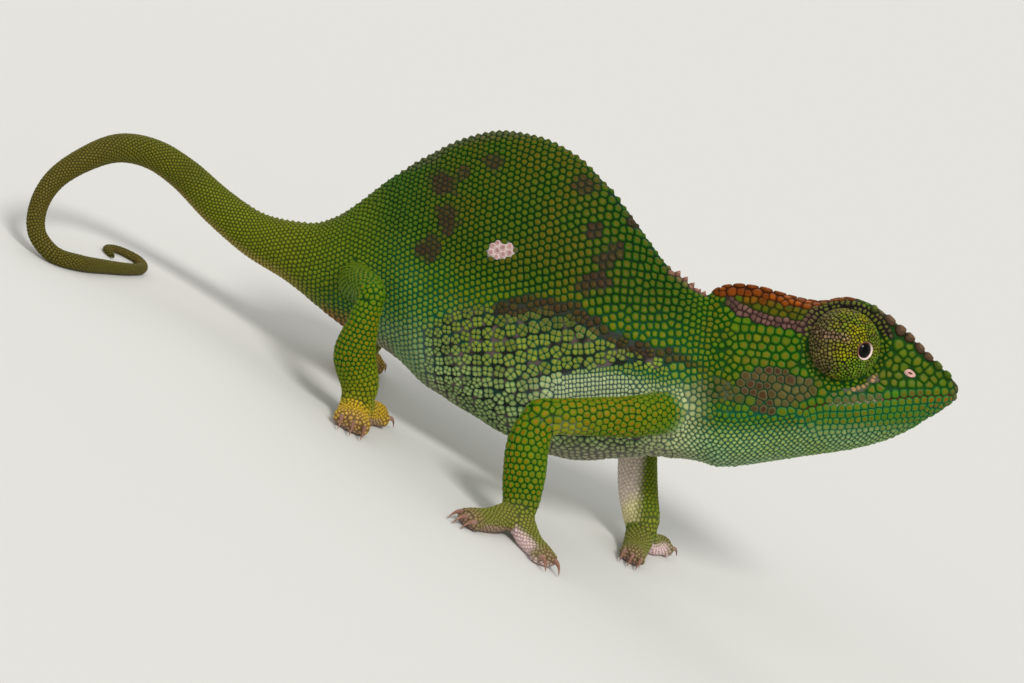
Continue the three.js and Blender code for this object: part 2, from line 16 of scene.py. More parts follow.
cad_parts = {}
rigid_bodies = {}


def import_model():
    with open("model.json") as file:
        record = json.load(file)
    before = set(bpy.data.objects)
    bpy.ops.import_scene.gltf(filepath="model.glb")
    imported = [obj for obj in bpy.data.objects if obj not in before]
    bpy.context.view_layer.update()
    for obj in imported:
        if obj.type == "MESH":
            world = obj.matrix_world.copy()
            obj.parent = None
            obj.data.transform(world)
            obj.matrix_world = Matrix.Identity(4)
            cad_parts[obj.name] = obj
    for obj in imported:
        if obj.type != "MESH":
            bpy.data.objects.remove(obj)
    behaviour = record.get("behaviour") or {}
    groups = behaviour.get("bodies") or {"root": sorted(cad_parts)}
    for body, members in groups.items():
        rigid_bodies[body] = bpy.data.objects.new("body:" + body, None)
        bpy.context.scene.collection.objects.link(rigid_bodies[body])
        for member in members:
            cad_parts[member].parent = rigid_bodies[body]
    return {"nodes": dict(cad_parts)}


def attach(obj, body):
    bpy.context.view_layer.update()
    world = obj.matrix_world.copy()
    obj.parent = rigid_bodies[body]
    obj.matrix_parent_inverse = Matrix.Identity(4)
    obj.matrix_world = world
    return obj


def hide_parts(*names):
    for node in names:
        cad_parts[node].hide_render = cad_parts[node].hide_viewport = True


for leftover in list(bpy.data.objects):
    bpy.data.objects.remove(leftover)
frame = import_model()


bpy.context.view_layer.update()
rng = np.random.default_rng(11)
ORIGIN = np.array([-4.56501579, -5.73398113, 0.0])  # the row frame's origin in the modelling frame, mm
MM = 0.001

# ------------------------------------------------------------------ the same sizes as the solids, in mm
SPINE = [  # centre x, y, z, half height, half width
    (33.5, 2.9, 31.2, 10.6, 5.9), (28.0, 2.6, 29.7, 12.2, 6.7), (24.0, 2.5, 29.0, 13.5, 7.1), (19.35, 2.5, 28.65, 15.3, 7.8),
    (14.45, 2.5, 28.95, 18.3, 8.6), (9.55, 2.5, 28.85, 21.1, 9.3), (4.8, 2.5, 28.5, 23.0, 9.8), (-0.5, 2.4, 27.8, 23.4, 10.0),
    (-6.1, 2.3, 26.8, 22.6, 10.0), (-11.3, 2.2, 25.1, 20.7, 9.7), (-16.1, 2.0, 22.9, 18.0, 9.1), (-20.5, 1.9, 21.2, 14.6, 8.3),
    (-24.0, 1.7, 19.0, 11.8, 7.4), (-27.4, 1.4, 16.6, 9.3, 6.4), (-30.9, 1.3, 15.4, 7.0, 5.3), (-34.9, 1.3, 14.6, 5.1, 4.2),
    (-42.6, 1.9, 13.4, 3.7, 3.3), (-49.5, 1.0, 14.4, 3.2, 2.9), (-56.0, -2.0, 16.7, 2.8, 2.6), (-60.8, -6.0, 17.8, 2.6, 2.4),
    (-64.6, -11.0, 17.1, 2.45, 2.3), (-67.1, -16.0, 14.2, 2.15, 2.05), (-68.7, -20.2, 10.2, 1.85, 1.8), (-68.3, -23.1, 6.2, 1.62, 1.6),
    (-66.2, -24.7, 2.9, 1.52, 1.52), (-62.6, -24.5, 1.36, 1.44, 1.45), (-59.6, -20.6, 1.22, 1.34, 1.34), (-57.3, -13.8, 1.04, 1.16, 1.16),
    (-55.4, -7.0, 0.9, 1.0, 1.0), (-54.9, -2.0, 0.78, 0.88, 0.88), (-56.9, 1.2, 0.68, 0.78, 0.78), (-60.2, 0.6, 0.6, 0.7, 0.7),
    (-61.2, -2.3, 0.54, 0.62, 0.62), (-59.4, -4.0, 0.46, 0.52, 0.52),
]
HEAD = [  # along, crown, crest w z, cheek w z, lip w z, throat w, bottom
    (-5.0, 11.6, 3.4, 9.8, 5.9, 3.0, 6.0, -4.2, 4.2, -11.0), (0.6, 12.2, 2.2, 11.2, 6.1, 3.2, 6.5, -4.8, 4.6, -12.3),
    (2.2, 13.9, 1.9, 12.4, 6.3, 3.6, 6.7, -5.0, 4.8, -12.8), (4.2, 14.6, 2.4, 12.1, 6.5, 3.8, 6.9, -5.1, 4.9, -12.9),
    (8.0, 14.45, 3.7, 10.1, 6.7, 3.4, 7.1, -4.9, 4.9, -12.5), (13.0, 13.1, 4.9, 8.6, 6.5, 2.8, 7.1, -4.4, 4.8, -11.7),
    (18.0, 12.1, 5.4, 9.2, 5.9, 2.4, 6.8, -3.6, 4.6, -11.0), (22.0, 12.6, 5.2, 11.1, 5.5, 2.2, 6.3, -3.3, 4.3, -10.4),
    (26.0, 11.2, 4.8, 10.1, 5.1, 2.0, 5.7, -2.9, 3.9, -9.5), (30.0, 7.9, 4.1, 7.1, 4.5, 1.5, 4.9, -2.5, 3.3, -8.0),
    (34.0, 3.9, 3.2, 3.3, 3.6, 0.3, 3.8, -2.2, 2.5, -5.8), (36.8, 1.1, 2.1, 0.8, 2.5, -0.7, 2.7, -2.1, 1.8, -4.0),
    (38.3, -0.5, 0.9, -0.6, 1.2, -1.3, 1.3, -2.0, 0.9, -2.9),
]
LEGS = {
    "arm_right": dict(
        upper=[(27.2, -2.6, 24.6, 3.6, 2.9), (22.6, -9.4, 21.8, 3.25, 2.8), (16.4, -14.8, 18.9, 2.9, 2.7), (11.6, -18.0, 16.6, 2.7, 2.6)],
        lower=[(11.6, -18.0, 16.6, 2.75, 2.6), (12.0, -19.1, 12.6, 3.25, 2.6), (13.8, -19.9, 8.4, 3.35, 2.5), (15.5, -20.6, 4.6, 2.9, 2.35)],
        palm=(15.9, -21.2, 3.2),
        inner=dict(mid=(13.6, -26.2), end=(11.7, -30.4), claws=3, wide=1.95, deep=1.8),
        outer=dict(mid=(19.7, -24.4), end=(22.9, -27.4), claws=2, wide=1.8, deep=1.75)),
    "arm_left": dict(
        upper=[(26.6, 4.6, 24.4, 3.5, 2.8), (25.4, 10.6, 21.4, 3.1, 2.7), (23.2, 14.2, 18.0, 2.8, 2.6), (21.8, 15.8, 15.0, 2.7, 2.6)],
        lower=[(21.8, 15.8, 15.0, 2.8, 2.6), (23.8, 13.2, 11.4, 3.25, 2.5), (26.7, 10.3, 7.6, 3.3, 2.4), (29.5, 8.2, 4.6, 3.0, 2.3)],
        palm=(30.3, 7.7, 3.2),
        inner=dict(mid=(31.2, 3.6), end=(31.6, 0.2), claws=3, wide=1.9, deep=1.8),
        outer=dict(mid=(32.0, 11.2), end=(33.4, 14.3), claws=2, wide=1.75, deep=1.75)),
    "leg_right": dict(
        upper=[(-25.6, -1.0, 16.6, 3.3, 3.0), (-23.4, -7.4, 17.2, 3.0, 2.8), (-21.0, -12.0, 18.4, 2.5, 2.5), (-19.4, -15.0, 18.6, 2.1, 2.2)],
        lower=[(-19.4, -15.0, 18.6, 2.05, 2.2), (-18.5, -15.4, 14.0, 2.6, 2.5), (-17.4, -15.1, 9.4, 3.4, 2.7), (-14.9, -14.2, 5.9, 3.1, 2.5)],
        palm=(-14.0, -13.8, 3.5),
        inner=dict(mid=(-12.7, -10.3), end=(-11.6, -8.0), claws=2, wide=1.9, deep=2.1),
        outer=dict(mid=(-13.2, -16.2), end=(-12.5, -18.4), claws=3, wide=2.6, deep=2.1)),
    "leg_left": dict(
        upper=[(-25.4, 4.0, 16.6, 3.3, 3.0), (-24.6, 9.6, 17.2, 3.0, 2.8), (-23.2, 14.0, 18.2, 2.5, 2.5), (-22.2, 16.8, 18.2, 2.1, 2.2)],
        lower=[(-22.2, 16.8, 18.2, 2.05, 2.2), (-22.4, 16.8, 14.4, 2.6, 2.5), (-22.4, 15.4, 10.0, 3.3, 2.7), (-22.0, 13.4, 6.2, 3.1, 2.5)],
        palm=(-21.8, 13.0, 3.6),
        inner=dict(mid=(-20.9, 9.9), end=(-20.2, 7.6), claws=2, wide=1.9, deep=2.1),
        outer=dict(mid=(-21.6, 16.0), end=(-21.0, 18.6), claws=3, wide=2.6, deep=2.1)),
}
TRUNK_UP = np.array([-0.47, 0.08, 0.88])
BELLY_FULLNESS, BACK_SHARPNESS, SINK = 0.2, 0.2, 0.35
HEAD_ORIGIN = np.array([27.3, 2.5, 28.9])
HEAD_FORWARD, HEAD_UP = np.array([0.8515, 0.2256, 0.4733]), np.array([-0.5064, 0.12, 0.8539])
EYE_CENTRE, EYE_RADIUS, EYE_LOOK, PUPIL_RADIUS = (21.1, 4.4, 5.4), 5.45, (0.545, 0.822, -0.165), 1.35
CLAW_LENGTH, CUT = 2.5, 0.32

# the view from the animal's right, which is also the chart that the markings are drawn in
AZIMUTH, ELEVATION, ROLL, AWAY, AIM = 8.0, 12.5, 29.0, 640.0, np.array([0.0, 0.0, 19.95])
_a, _e, _r = (math.radians(v) for v in (AZIMUTH, ELEVATION, ROLL))
VIEW_F = -np.array([math.sin(_a) * math.cos(_e), -math.cos(_a) * math.cos(_e), math.sin(_e)])
_r0 = np.array([math.cos(_a), math.sin(_a), 0.0])
_u0 = np.cross(_r0, VIEW_F)
VIEW_R = math.cos(_r) * _r0 + math.sin(_r) * _u0
VIEW_U = -math.sin(_r) * _r0 + math.cos(_r) * _u0
EYE_POINT = AIM - VIEW_F * AWAY


# ------------------------------------------------------------------ curves and lofts
def unit(v):
    v = np.asarray(v, float)
    return v / np.maximum(np.linalg.norm(v, axis=-1, keepdims=True), 1e-12)


def smooth(t):
    t = np.clip(t, 0.0, 1.0)
    return t * t * (3 - 2 * t)


def ramp(x, lo, hi):
    return smooth((np.asarray(x, float) - lo) / (hi - lo))


def hermite(rows, knots, u):
    rows, knots = np.asarray(rows, float), np.asarray(knots, float)
    n = len(rows)
    u = np.atleast_1d(np.asarray(u, float))
    i = np.clip(np.floor(u).astype(int), 0, n - 2)
    t = (u - i)[:, None]
    lo, hi = np.maximum(0, np.arange(n) - 1), np.minimum(n - 1, np.arange(n) + 1)
    slope = (rows[hi] - rows[lo]) / (knots[hi] - knots[lo])[:, None]
    h = (knots[i + 1] - knots[i])[:, None]
    t2, t3 = t * t, t * t * t
    return (2 * t3 - 3 * t2 + 1) * rows[i] + (t3 - 2 * t2 + t) * h * slope[i] + (3 * t2 - 2 * t3) * rows[i + 1] + (t3 - t2) * h * slope[i + 1]


def chord_knots(rows):
    p = np.asarray(rows, float)[:, :3]
    return np.concatenate([[0.0], np.cumsum(np.linalg.norm(np.diff(p, axis=0), axis=1))])


def stations(knots, s):
    s = np.clip(np.atleast_1d(np.asarray(s, float)), knots[0], knots[-1])
    seg = np.clip(np.searchsorted(knots, s, side="right") - 1, 0, len(knots) - 2)
    return seg + (s - knots[seg]) / (knots[seg + 1] - knots[seg])


class Axis:
    """The axial body: frames along the spine and points on its surface. a is 0 on the right, 90 on the back."""

    def __init__(self):
        self.knots = chord_knots(SPINE)
        self.length = self.knots[-1]
        n = 1201
        self.s = np.linspace(0, self.length, n)
        self.u = stations(self.knots, self.s)
        r = hermite(SPINE, self.knots, self.u)
        a, b = hermite(SPINE, self.knots, np.maximum(0, self.u - 0.02)), hermite(SPINE, self.knots, np.minimum(len(SPINE) - 1, self.u + 0.02))
        self.c, self.tall, self.wide = r[:, :3], r[:, 3], r[:, 4]
        self.t = unit((b - a)[:, :3])
        up0 = unit(TRUNK_UP)
        carried, ups = up0.copy(), []
        for i in range(n):
            carried = unit(carried - self.t[i] * carried.dot(self.t[i]))
            k = float(smooth((self.u[i] - 12) / 4))
            ups.append(unit(up0 * (1 - k) + carried * k))
        self.up = np.array(ups)
        self.side = unit(np.cross(self.up, self.t))
        trunk = 1 - smooth((self.u - 11) / 5)
        self.full, self.sharp = BELLY_FULLNESS * trunk, BACK_SHARPNESS * trunk + 0.05

    def at(self, s):
        k = np.clip(np.asarray(s, float) / self.length * (len(self.s) - 1), 0, len(self.s) - 1.0001)
        i = k.astype(int)
        f = (k - i)[..., None]
        pick = lambda arr: (arr[i] * (1 - (f if arr.ndim > 1 else f[..., 0])) + arr[i + 1] * (f if arr.ndim > 1 else f[..., 0]))
        return {name: pick(getattr(self, name)) for name in ("c", "t", "up", "side", "tall", "wide", "full", "sharp", "u")}

    def point(self, s, a, grow=0.0):
        f = self.at(s)
        c, d = np.cos(a), np.sin(a)
        w = (f["wide"] + grow) * c * (1 - f["full"] * d - f["sharp"] * np.maximum(0, d) ** 2)
        return f["c"] + f["side"] * w[..., None] + f["up"] * ((f["tall"] + grow) * d)[..., None]


AX = Axis()
HX = unit(HEAD_FORWARD)
HZ = unit(HEAD_UP - HX * HEAD_UP.dot(HX))
HY = np.cross(HZ, HX)


def head_point(f, left, up):
    f, left, up = (np.asarray(v, float) for v in (f, left, up))
    return HEAD_ORIGIN + f[..., None] * HX + left[..., None] * HY + up[..., None] * HZ


def head_coords(p):
    d = np.asarray(p, float) - HEAD_ORIGIN
    return d @ HX, d @ HY, d @ HZ


HEAD_KNOTS = np.array([r[0] for r in HEAD])


def head_row(x):
    return hermite(HEAD, HEAD_KNOTS, stations(HEAD_KNOTS, x))


def head_rings(xs, half, grow=0.0):
    rings = []
    for x in xs:
        r = head_row(x)[0]
        top, cw, cz, kw, kz, lw, lz, tw, bottom = r[1:]
        side = [(0, top), (cw, cz), (kw, kz), (lw, lz), (tw, lz + (bottom - lz) * 0.62), (0, bottom)]
        full = np.array([(-side[1][0], side[1][1])] + side + [(-side[4][0], side[4][1])])
        k = np.concatenate([[0.0], np.cumsum(np.hypot(*np.diff(full, axis=0).T))])
        d = k[1] + (k[6] - k[1]) * np.arange(half + 1) / half
        left = hermite(full, k, np.clip(stations(k, d), 1, 6))
        left[0, 0] = left[-1, 0] = 0
        left[:, 0] = np.maximum(0, left[:, 0])
        if grow:
            mid = (left[0, 1] + left[-1, 1]) / 2
            v = left - np.array([0, mid])
            left = left + grow * unit(v)
        pts = np.concatenate([left, (left * [-1, 1])[half - 1:0:-1]])
        rings.append(head_point(np.full(len(pts), r[0]), pts[:, 0], pts[:, 1]))
    return np.array(rings)


def limb_frame(rows, s, across):
    knots = chord_knots(rows)
    u = stations(knots, s)
    r = hermite(rows, knots, u)
    a, b = hermite(rows, knots, np.maximum(0, u - 0.02)), hermite(rows, knots, np.minimum(len(rows) - 1, u + 0.02))
    t = unit((b - a)[:, :3])
    q = np.asarray(across, float)[None] - t * (t @ np.asarray(across, float))[:, None]
    q = unit(q)
    return r[:, :3], r[:, 3], r[:, 4], t, np.cross(t, q), q


def limb_rings(rows, steps, sides, across, grow=0.0, taper=None):
    knots = chord_knots(rows)
    total = knots[-1]
    cap = [80, 60, 40, 20]
    c0, w0, d0, t0, _, _ = limb_frame(rows, [0.0], across)
    c1, w1, d1, t1, _, _ = limb_frame(rows, [total], across)
    spec = []
    for deg in cap:
        a = math.radians(deg)
        spec.append((0.0, math.cos(a), -min(w0[0], d0[0]) * math.sin(a)))
    spec += [(total * i / steps, 1.0, 0.0) for i in range(steps + 1)]
    for deg in cap[::-1]:
        a = math.radians(deg)
        spec.append((total, math.cos(a), min(w1[0], d1[0]) * math.sin(a)))
    rings = []
    a = 2 * np.pi * np.arange(sides) / sides
    for s, k, shift in spec:
        c, w, d, t, p, q = limb_frame(rows, [s], across)
        g = grow if taper is None else grow * taper(s / total)
        rings.append(c + t * shift + p * ((w + g) * k * np.cos(a))[:, None] + q * ((d + g) * k * np.sin(a))[:, None])
    return np.array(rings)


def loft_mesh(rings):
    """Vertices and faces of a closed loft through rings."""
    n, m = rings.shape[:2]
    v = rings.reshape(-1, 3)
    i, j = np.meshgrid(np.arange(n - 1), np.arange(m), indexing="ij")
    a, b = i * m + j, i * m + (j + 1) % m
    quads = np.stack([a, b, b + m, a + m], -1).reshape(-1, 4)
    return v, quads, [list(range(m))[::-1], [(n - 1) * m + k for k in range(m)]]


def toe_rows(leg, b):
    palm = leg["lower"][3][3] * 0.8
    return [(*leg["palm"], palm, 2.0), (*b["mid"], b["deep"] - SINK, (b["wide"] + palm) / 2, b["deep"]), (*b["end"], b["deep"] * 0.92 - SINK, b["wide"], b["deep"] * 0.92)]


def claw_roots(leg, b):
    mid, end = (np.array(r[:3]) for r in toe_rows(leg, b)[1:])
    way = end - mid
    way[2] = 0
    way = unit(way)
    over = np.cross([0, 0, 1.0], way)
    out = []
    for k in range(b["claws"]):
        o = -b["wide"] * 0.72 + 2 * b["wide"] * 0.72 * k / (b["claws"] - 1)
        reach = math.sqrt(max(0.05, 1 - (o / (b["wide"] * 1.02)) ** 2)) * min(b["wide"], b["deep"] * 0.92)
        root = end + over * o + way * (reach * 0.93 + CUT * 0.5)
        root[2] = b["deep"] * 0.82
        out.append((root, way, over, o))
    return out


# ------------------------------------------------------------------ meshes
def to_row(p):
    return (np.asarray(p, float) - ORIGIN) * MM


def new_mesh(name, verts, faces=None, tris=None, quads=None):
    """A mesh object from points in mm and either triangle or quad index arrays."""
    me = bpy.data.meshes.new(name)
    idx = tris if tris is not None else quads
    size = idx.shape[1]
    me.vertices.add(len(verts))
    me.vertices.foreach_set("co", np.asarray(to_row(verts), np.float32).ravel())
    me.loops.add(idx.size)
    me.loops.foreach_set("vertex_index", idx.astype(np.int32).ravel())
    me.polygons.add(len(idx))
    me.polygons.foreach_set("loop_start", (np.arange(len(idx)) * size).astype(np.int32))
    me.update(calc_edges=True)
    me.validate()
    me.polygons.foreach_set("use_smooth", np.ones(len(me.polygons), bool))
    ob = bpy.data.objects.new(name, me)
    bpy.context.scene.collection.objects.link(ob)
    return ob


def add_colour(me, name, values):
    layer = me.attributes.new(name, "FLOAT_COLOR", "POINT")
    rgba = np.ones((len(me.vertices), 4), np.float32)
    rgba[:, :3] = values
    layer.data.foreach_set("color", rgba.ravel())


def add_float(me, name, values):
    layer = me.attributes.new(name, "FLOAT", "POINT")
    layer.data.foreach_set("value", np.asarray(values, np.float32))


# ------------------------------------------------------------------ the skin: lofts, joined, remeshed and smoothed
def fan_tris(quads, caps, start):
    tris = [np.stack([quads[:, 0], quads[:, 1], quads[:, 2]], 1), np.stack([quads[:, 0], quads[:, 2], quads[:, 3]], 1)]
    for cap in caps:
        cap = np.array(cap)
        tris.append(np.stack([np.full(len(cap) - 2, cap[0]), cap[1:-1], cap[2:]], 1))
    return np.concatenate(tris) + start


class Soup:
    """Closed pieces gathered for the remesh."""

    def __init__(self):
        self.v, self.f, self.n = [], [], 0

    def add(self, rings):
        v, quads, caps = loft_mesh(rings)
        self.f.append(fan_tris(quads, caps, self.n))
        self.v.append(v)
        self.n += len(v)

    def ball(self, centre, radii, axes=None, n=10):
        axes = np.eye(3) if axes is None else np.asarray(axes, float)
        lat = np.linspace(-np.pi / 2 + 0.12, np.pi / 2 - 0.12, n)
        lon = 2 * np.pi * np.arange(2 * n) / (2 * n)
        rings = []
        for a in lat:
            local = np.stack([np.cos(a) * np.cos(lon) * radii[0], np.cos(a) * np.sin(lon) * radii[1], np.full(2 * n, np.sin(a)) * radii[2]], 1)
            rings.append(np.asarray(centre) + local @ axes)
        self.add(np.array(rings))


def coat_depth(r):
    """How far the skin lies under the scale tips on a part r mm thick."""
    return np.minimum(0.30, 0.15 * np.asarray(r, float))


soup = Soup()
# the axial body, from inside the head to the tail's end
ax_s = np.concatenate([np.arange(0, 48, 0.55), np.arange(48, 75, 0.5), np.arange(75, AX.length, 0.42), [AX.length]])
ax_a = 2 * np.pi * np.arange(96) / 96
ax_rings = []
for s in ax_s:
    f = AX.at(np.array([s]))
    g = -float(coat_depth(min(f["tall"][0], f["wide"][0])))
    ax_rings.append(AX.point(np.full(96, s), ax_a, g))
ax_rings = np.array(ax_rings)
ax_rings[:, :, 2] = np.maximum(ax_rings[:, :, 2], 0.0)
soup.add(ax_rings)
tip = AX.point(np.array([AX.length]), np.array([0.0]))[0]
soup.ball(AX.c[-1] + AX.t[-1] * 0.02, (0.4, 0.4, 0.4), n=6)
# the head
hd_x = -5 + 43.3 * (1 - (1 - np.linspace(0, 1, 96)) ** 1.25)
hd_rings = head_rings(hd_x, 30, -0.30)
soup.add(hd_rings)
# the limbs and toes
limb_soup = {}
for leg_name, leg in LEGS.items():
    lower_rows = list(leg["lower"]) + [(*leg["palm"], leg["lower"][3][3] * 0.86, leg["lower"][3][4] * 0.95)]
    for part, rows in (("upper", leg["upper"]), ("lower", lower_rows)):
        rings = limb_rings(rows, 44, 32, (0, 1, 0.15), -0.26)
        rings[:, :, 2] = np.maximum(rings[:, :, 2], 0.0)
        soup.add(rings)
        limb_soup[leg_name, part] = (rows, (0, 1, 0.15))
    for which in ("inner", "outer"):
        rows = toe_rows(leg, leg[which])
        rings = limb_rings(rows, 26, 28, (0, 0, 1), -0.14)
        rings[:, :, 2] = np.maximum(rings[:, :, 2], 0.0)
        soup.add(rings)
        limb_soup[leg_name, which] = (rows, (0, 0, 1))
        # each toe of the bundle shows as a lobe at its end
        for root, way, over, o in claw_roots(leg, leg[which]):
            r = leg[which]["wide"] * (0.42 if leg[which]["claws"] == 3 else 0.52)
            z = leg[which]["deep"] * 0.66
            back = root - way * (r * 0.95)
            back[2] = z
            soup.ball(back, (r * 1.1, r * 0.95, min(z, r * 1.15) + 0.02), axes=np.stack([way, over, [0, 0, 1.0]]), n=8)

# eye bulges under the turrets: the turret's own base grows out of the skin
def eye_at(side):
    f, l, u = EYE_CENTRE
    return head_point(np.array(f), np.array(l * side), np.array(u)), unit(EYE_LOOK[0] * HX + EYE_LOOK[1] * side * HY + EYE_LOOK[2] * HZ)


raw_v, raw_f = np.concatenate(soup.v), np.concatenate(soup.f)
raw = bpy.data.meshes.new("raw")
raw.from_pydata(raw_v.tolist(), [], raw_f.tolist())
raw_ob = bpy.data.objects.new("raw", raw)
bpy.context.scene.collection.objects.link(raw_ob)
mod = raw_ob.modifiers.new("one", "REMESH")
mod.mode, mod.voxel_size, mod.adaptivity = "VOXEL", 0.4, 0.0
dg = bpy.context.evaluated_depsgraph_get()
made = bpy.data.meshes.new_from_object(raw_ob.evaluated_get(dg))
SV = np.zeros(len(made.vertices) * 3)
made.vertices.foreach_get("co", SV)
SV = SV.reshape(-1, 3)
SQ = np.array([tuple(p.vertices) for p in made.polygons if len(p.vertices) == 4], int)
bpy.data.objects.remove(raw_ob)
bpy.data.meshes.remove(raw)
bpy.data.meshes.remove(made)
print("skin", len(SV), "points", len(SQ), "quads")

edges = np.unique(np.sort(np.concatenate([SQ[:, [0, 1]], SQ[:, [1, 2]], SQ[:, [2, 3]], SQ[:, [3, 0]]]), axis=1), axis=0)
deg = np.bincount(edges.ravel(), minlength=len(SV)).astype(float)


def neighbour_mean(values):
    out = np.zeros_like(values, dtype=float)
    if values.ndim == 1:
        out += np.bincount(edges[:, 0], values[edges[:, 1]], len(SV)) + np.bincount(edges[:, 1], values[edges[:, 0]], len(SV))
        return out / deg
    for k in range(values.shape[1]):
        out[:, k] = np.bincount(edges[:, 0], values[edges[:, 1], k], len(SV)) + np.bincount(edges[:, 1], values[edges[:, 0], k], len(SV))
    return out / deg[:, None]


def point_normals(v, quads):
    n = np.cross(v[quads[:, 2]] - v[quads[:, 0]], v[quads[:, 3]] - v[quads[:, 1]])
    out = np.zeros_like(v)
    for k in range(4):
        for c in range(3):
            out[:, c] += np.bincount(quads[:, k], n[:, c], len(v))
    return unit(out)


print(SV.min(0), SV.max(0))


# ------------------------------------------------------------------ where each point of the body is
def tree_of(points):
    t = KDTree(len(points))
    for i, p in enumerate(points):
        t.insert(p, i)
    t.balance()
    return t


samples, sample_loft, sample_s, sample_a = [ax_rings.reshape(-1, 3)], [np.zeros(ax_rings.shape[0] * 96, int)], [np.repeat(ax_s, 96)], [np.tile(ax_a, len(ax_s))]
hd_pick = hd_rings[::2]
samples.append(hd_pick.reshape(-1, 3))
sample_loft.append(np.ones(hd_pick.shape[0] * hd_pick.shape[1], int))
sample_s.append(np.repeat(hd_x[::2], hd_pick.shape[1]))
sample_a.append(np.tile(2 * np.pi * np.arange(hd_pick.shape[1]) / hd_pick.shape[1], len(hd_pick)))
LOFTS = {0: ("axis", ""), 1: ("head", "")}
for (leg_name, part), (rows, across) in limb_soup.items():
    k = len(LOFTS)
    LOFTS[k] = (leg_name, part)
    rings = limb_rings(rows, 30, 28, across, -0.2)
    samples.append(rings.reshape(-1, 3))
    sample_loft.append(np.full(rings.shape[0] * 28, k))
    sample_s.append(np.repeat(np.linspace(0, 1, len(rings)), 28))
    sample_a.append(np.tile(2 * np.pi * np.arange(28) / 28, len(rings)))
samples, sample_loft, sample_s, sample_a = (np.concatenate(v) for v in (samples, sample_loft, sample_s, sample_a))
sample_tree = tree_of(samples)
axis_tree = tree_of(samples[sample_loft == 0])
line_tree = tree_of(AX.c)
LOFT_KEYS = {v: k for k, v in LOFTS.items()}


class Place:
    """Everything the sizes and colours need to know about a set of points."""

    def __init__(self, p):
        self.p = p = np.asarray(p, float)
        found = [sample_tree.find(q) for q in p]
        idx = np.array([f[1] for f in found])
        dist = np.array([f[2] for f in found])
        self.loft, self.along, self.angle = sample_loft[idx], sample_s[idx], sample_a[idx]
        dax = np.array([axis_tree.find(q)[2] for q in p])
        self.limb = np.where(self.loft > 1, ramp(dax - dist, -0.2, 1.6), 0.0)
        k = np.array([line_tree.find(q)[1] for q in p])
        self.s = AX.s[k]
        rel = p - AX.c[k]
        self.lift = np.einsum("ij,ij->i", rel, AX.up[k]) / AX.tall[k]
        self.lateral = np.einsum("ij,ij->i", rel, AX.side[k])
        self.hx, self.hy, self.hz = head_coords(p)
        self.head = ramp(self.hx, -4.5, 2.5) * (self.loft <= 1)
        # the far side carries the near side's markings, mirrored across the animal's own middle
        t = ramp(self.hx, -8, 4)[:, None]
        n = unit(AX.side[k] * (1 - t) - HY * t)
        base = AX.c[k] * (1 - t) + (HEAD_ORIGIN + self.hx[:, None] * HX) * t
        d = np.einsum("ij,ij->i", p - base, n)
        self.left = d < 0
        q = p - 2 * np.minimum(d, 0)[:, None] * n
        rel = q - EYE_POINT
        depth = rel @ VIEW_F
        self.a, self.b = AWAY * (rel @ VIEW_R) / depth, AWAY * (rel @ VIEW_U) / depth


def loft_is(place, leg=None, part=None):
    ks = [k for k, (a, b) in LOFTS.items() if (leg is None or a.startswith(leg)) and (part is None or b in part)]
    return np.isin(place.loft, ks)


S_VENT, S_TAIL = AX.knots[13], AX.knots[15]
TOES, LIMBS = ("inner", "outer"), ("upper", "lower")
MOUTH = np.array([(38.1, -2.1), (33.3, -2.2), (29.3, -2.5), (25.3, -2.9), (21.3, -3.35), (18.1, -3.35), (15.9, -3.8), (14.6, -4.4)])[::-1]
CREST_LINE = np.array([(4.0, 12.1), (6, 10.3), (8, 9.7), (10.1, 9), (12.4, 8.5), (15, 8), (16.3, 8.5)])
BAND = np.array([(-1.8, 5.02), (2.55, 5.47), (7.95, 5.02), (10.65, 3.52), (12.9, 2.02), (16.35, 0.07), (19.2, -1.27), (22.05, -1.57), (24.6, -2.32), (29.25, -4.27)])
PATCHES = [(-10.5, 23.62, 1.2, 1.2), (-9.5, 18.5, 0.95, 1.35), (-12.7, 13.9, 1.1, 1.05), (-7.2, 25.27, 0.6, 0.6), (-2.85, 26.77, 0.75, 0.9), (11.4, 23.47, 1.05, 0.75),
           (12.15, 16.72, 0.75, 0.75), (18.15, 17.93, 0.75, 0.75), (15.45, 13.72, 0.9, 0.75), (14.1, 12.38, 0.9, 0.75), (12.15, 8.78, 1.5, 0.9)]


def line_distance(px, py, line):
    """Distance from points to a polyline, and how far along it they are."""
    best, along, total = np.full(len(px), 1e9), np.zeros(len(px)), 0.0
    for (x0, y0), (x1, y1) in zip(line[:-1], line[1:]):
        dx, dy = x1 - x0, y1 - y0
        ln = math.hypot(dx, dy)
        t = np.clip(((px - x0) * dx + (py - y0) * dy) / ln**2, 0, 1)
        d = np.hypot(px - x0 - t * dx, py - y0 - t * dy)
        along = np.where(d < best, total + t * ln, along)
        best = np.minimum(best, d)
        total += ln
    return best, along


def eye_polar(place):
    """Angle from each turret's look axis, degrees, and distance from its centre, for the nearer turret."""
    best, ang = np.full(len(place.p), 1e9), np.zeros(len(place.p))
    for side in (1, -1):
        c, look = eye_at(side)
        d = place.p - c
        r = np.linalg.norm(d, axis=1)
        a = np.degrees(np.arccos(np.clip((d @ look) / np.maximum(r, 1e-9), -1, 1)))
        ang = np.where(r < best, a, ang)
        best = np.minimum(best, r)
    return best, ang


def interp(x, xs, ys):
    return np.interp(x, xs, ys)


def armpit(pl):
    """The fold above the upper arm, where the scales are fine."""
    return (1 - ramp(np.hypot((pl.a - 16.0) / 10.5, (pl.b + 7.2) / 3.5), 0.85, 1.1)) * (1 - pl.head) * (pl.hx < 0)


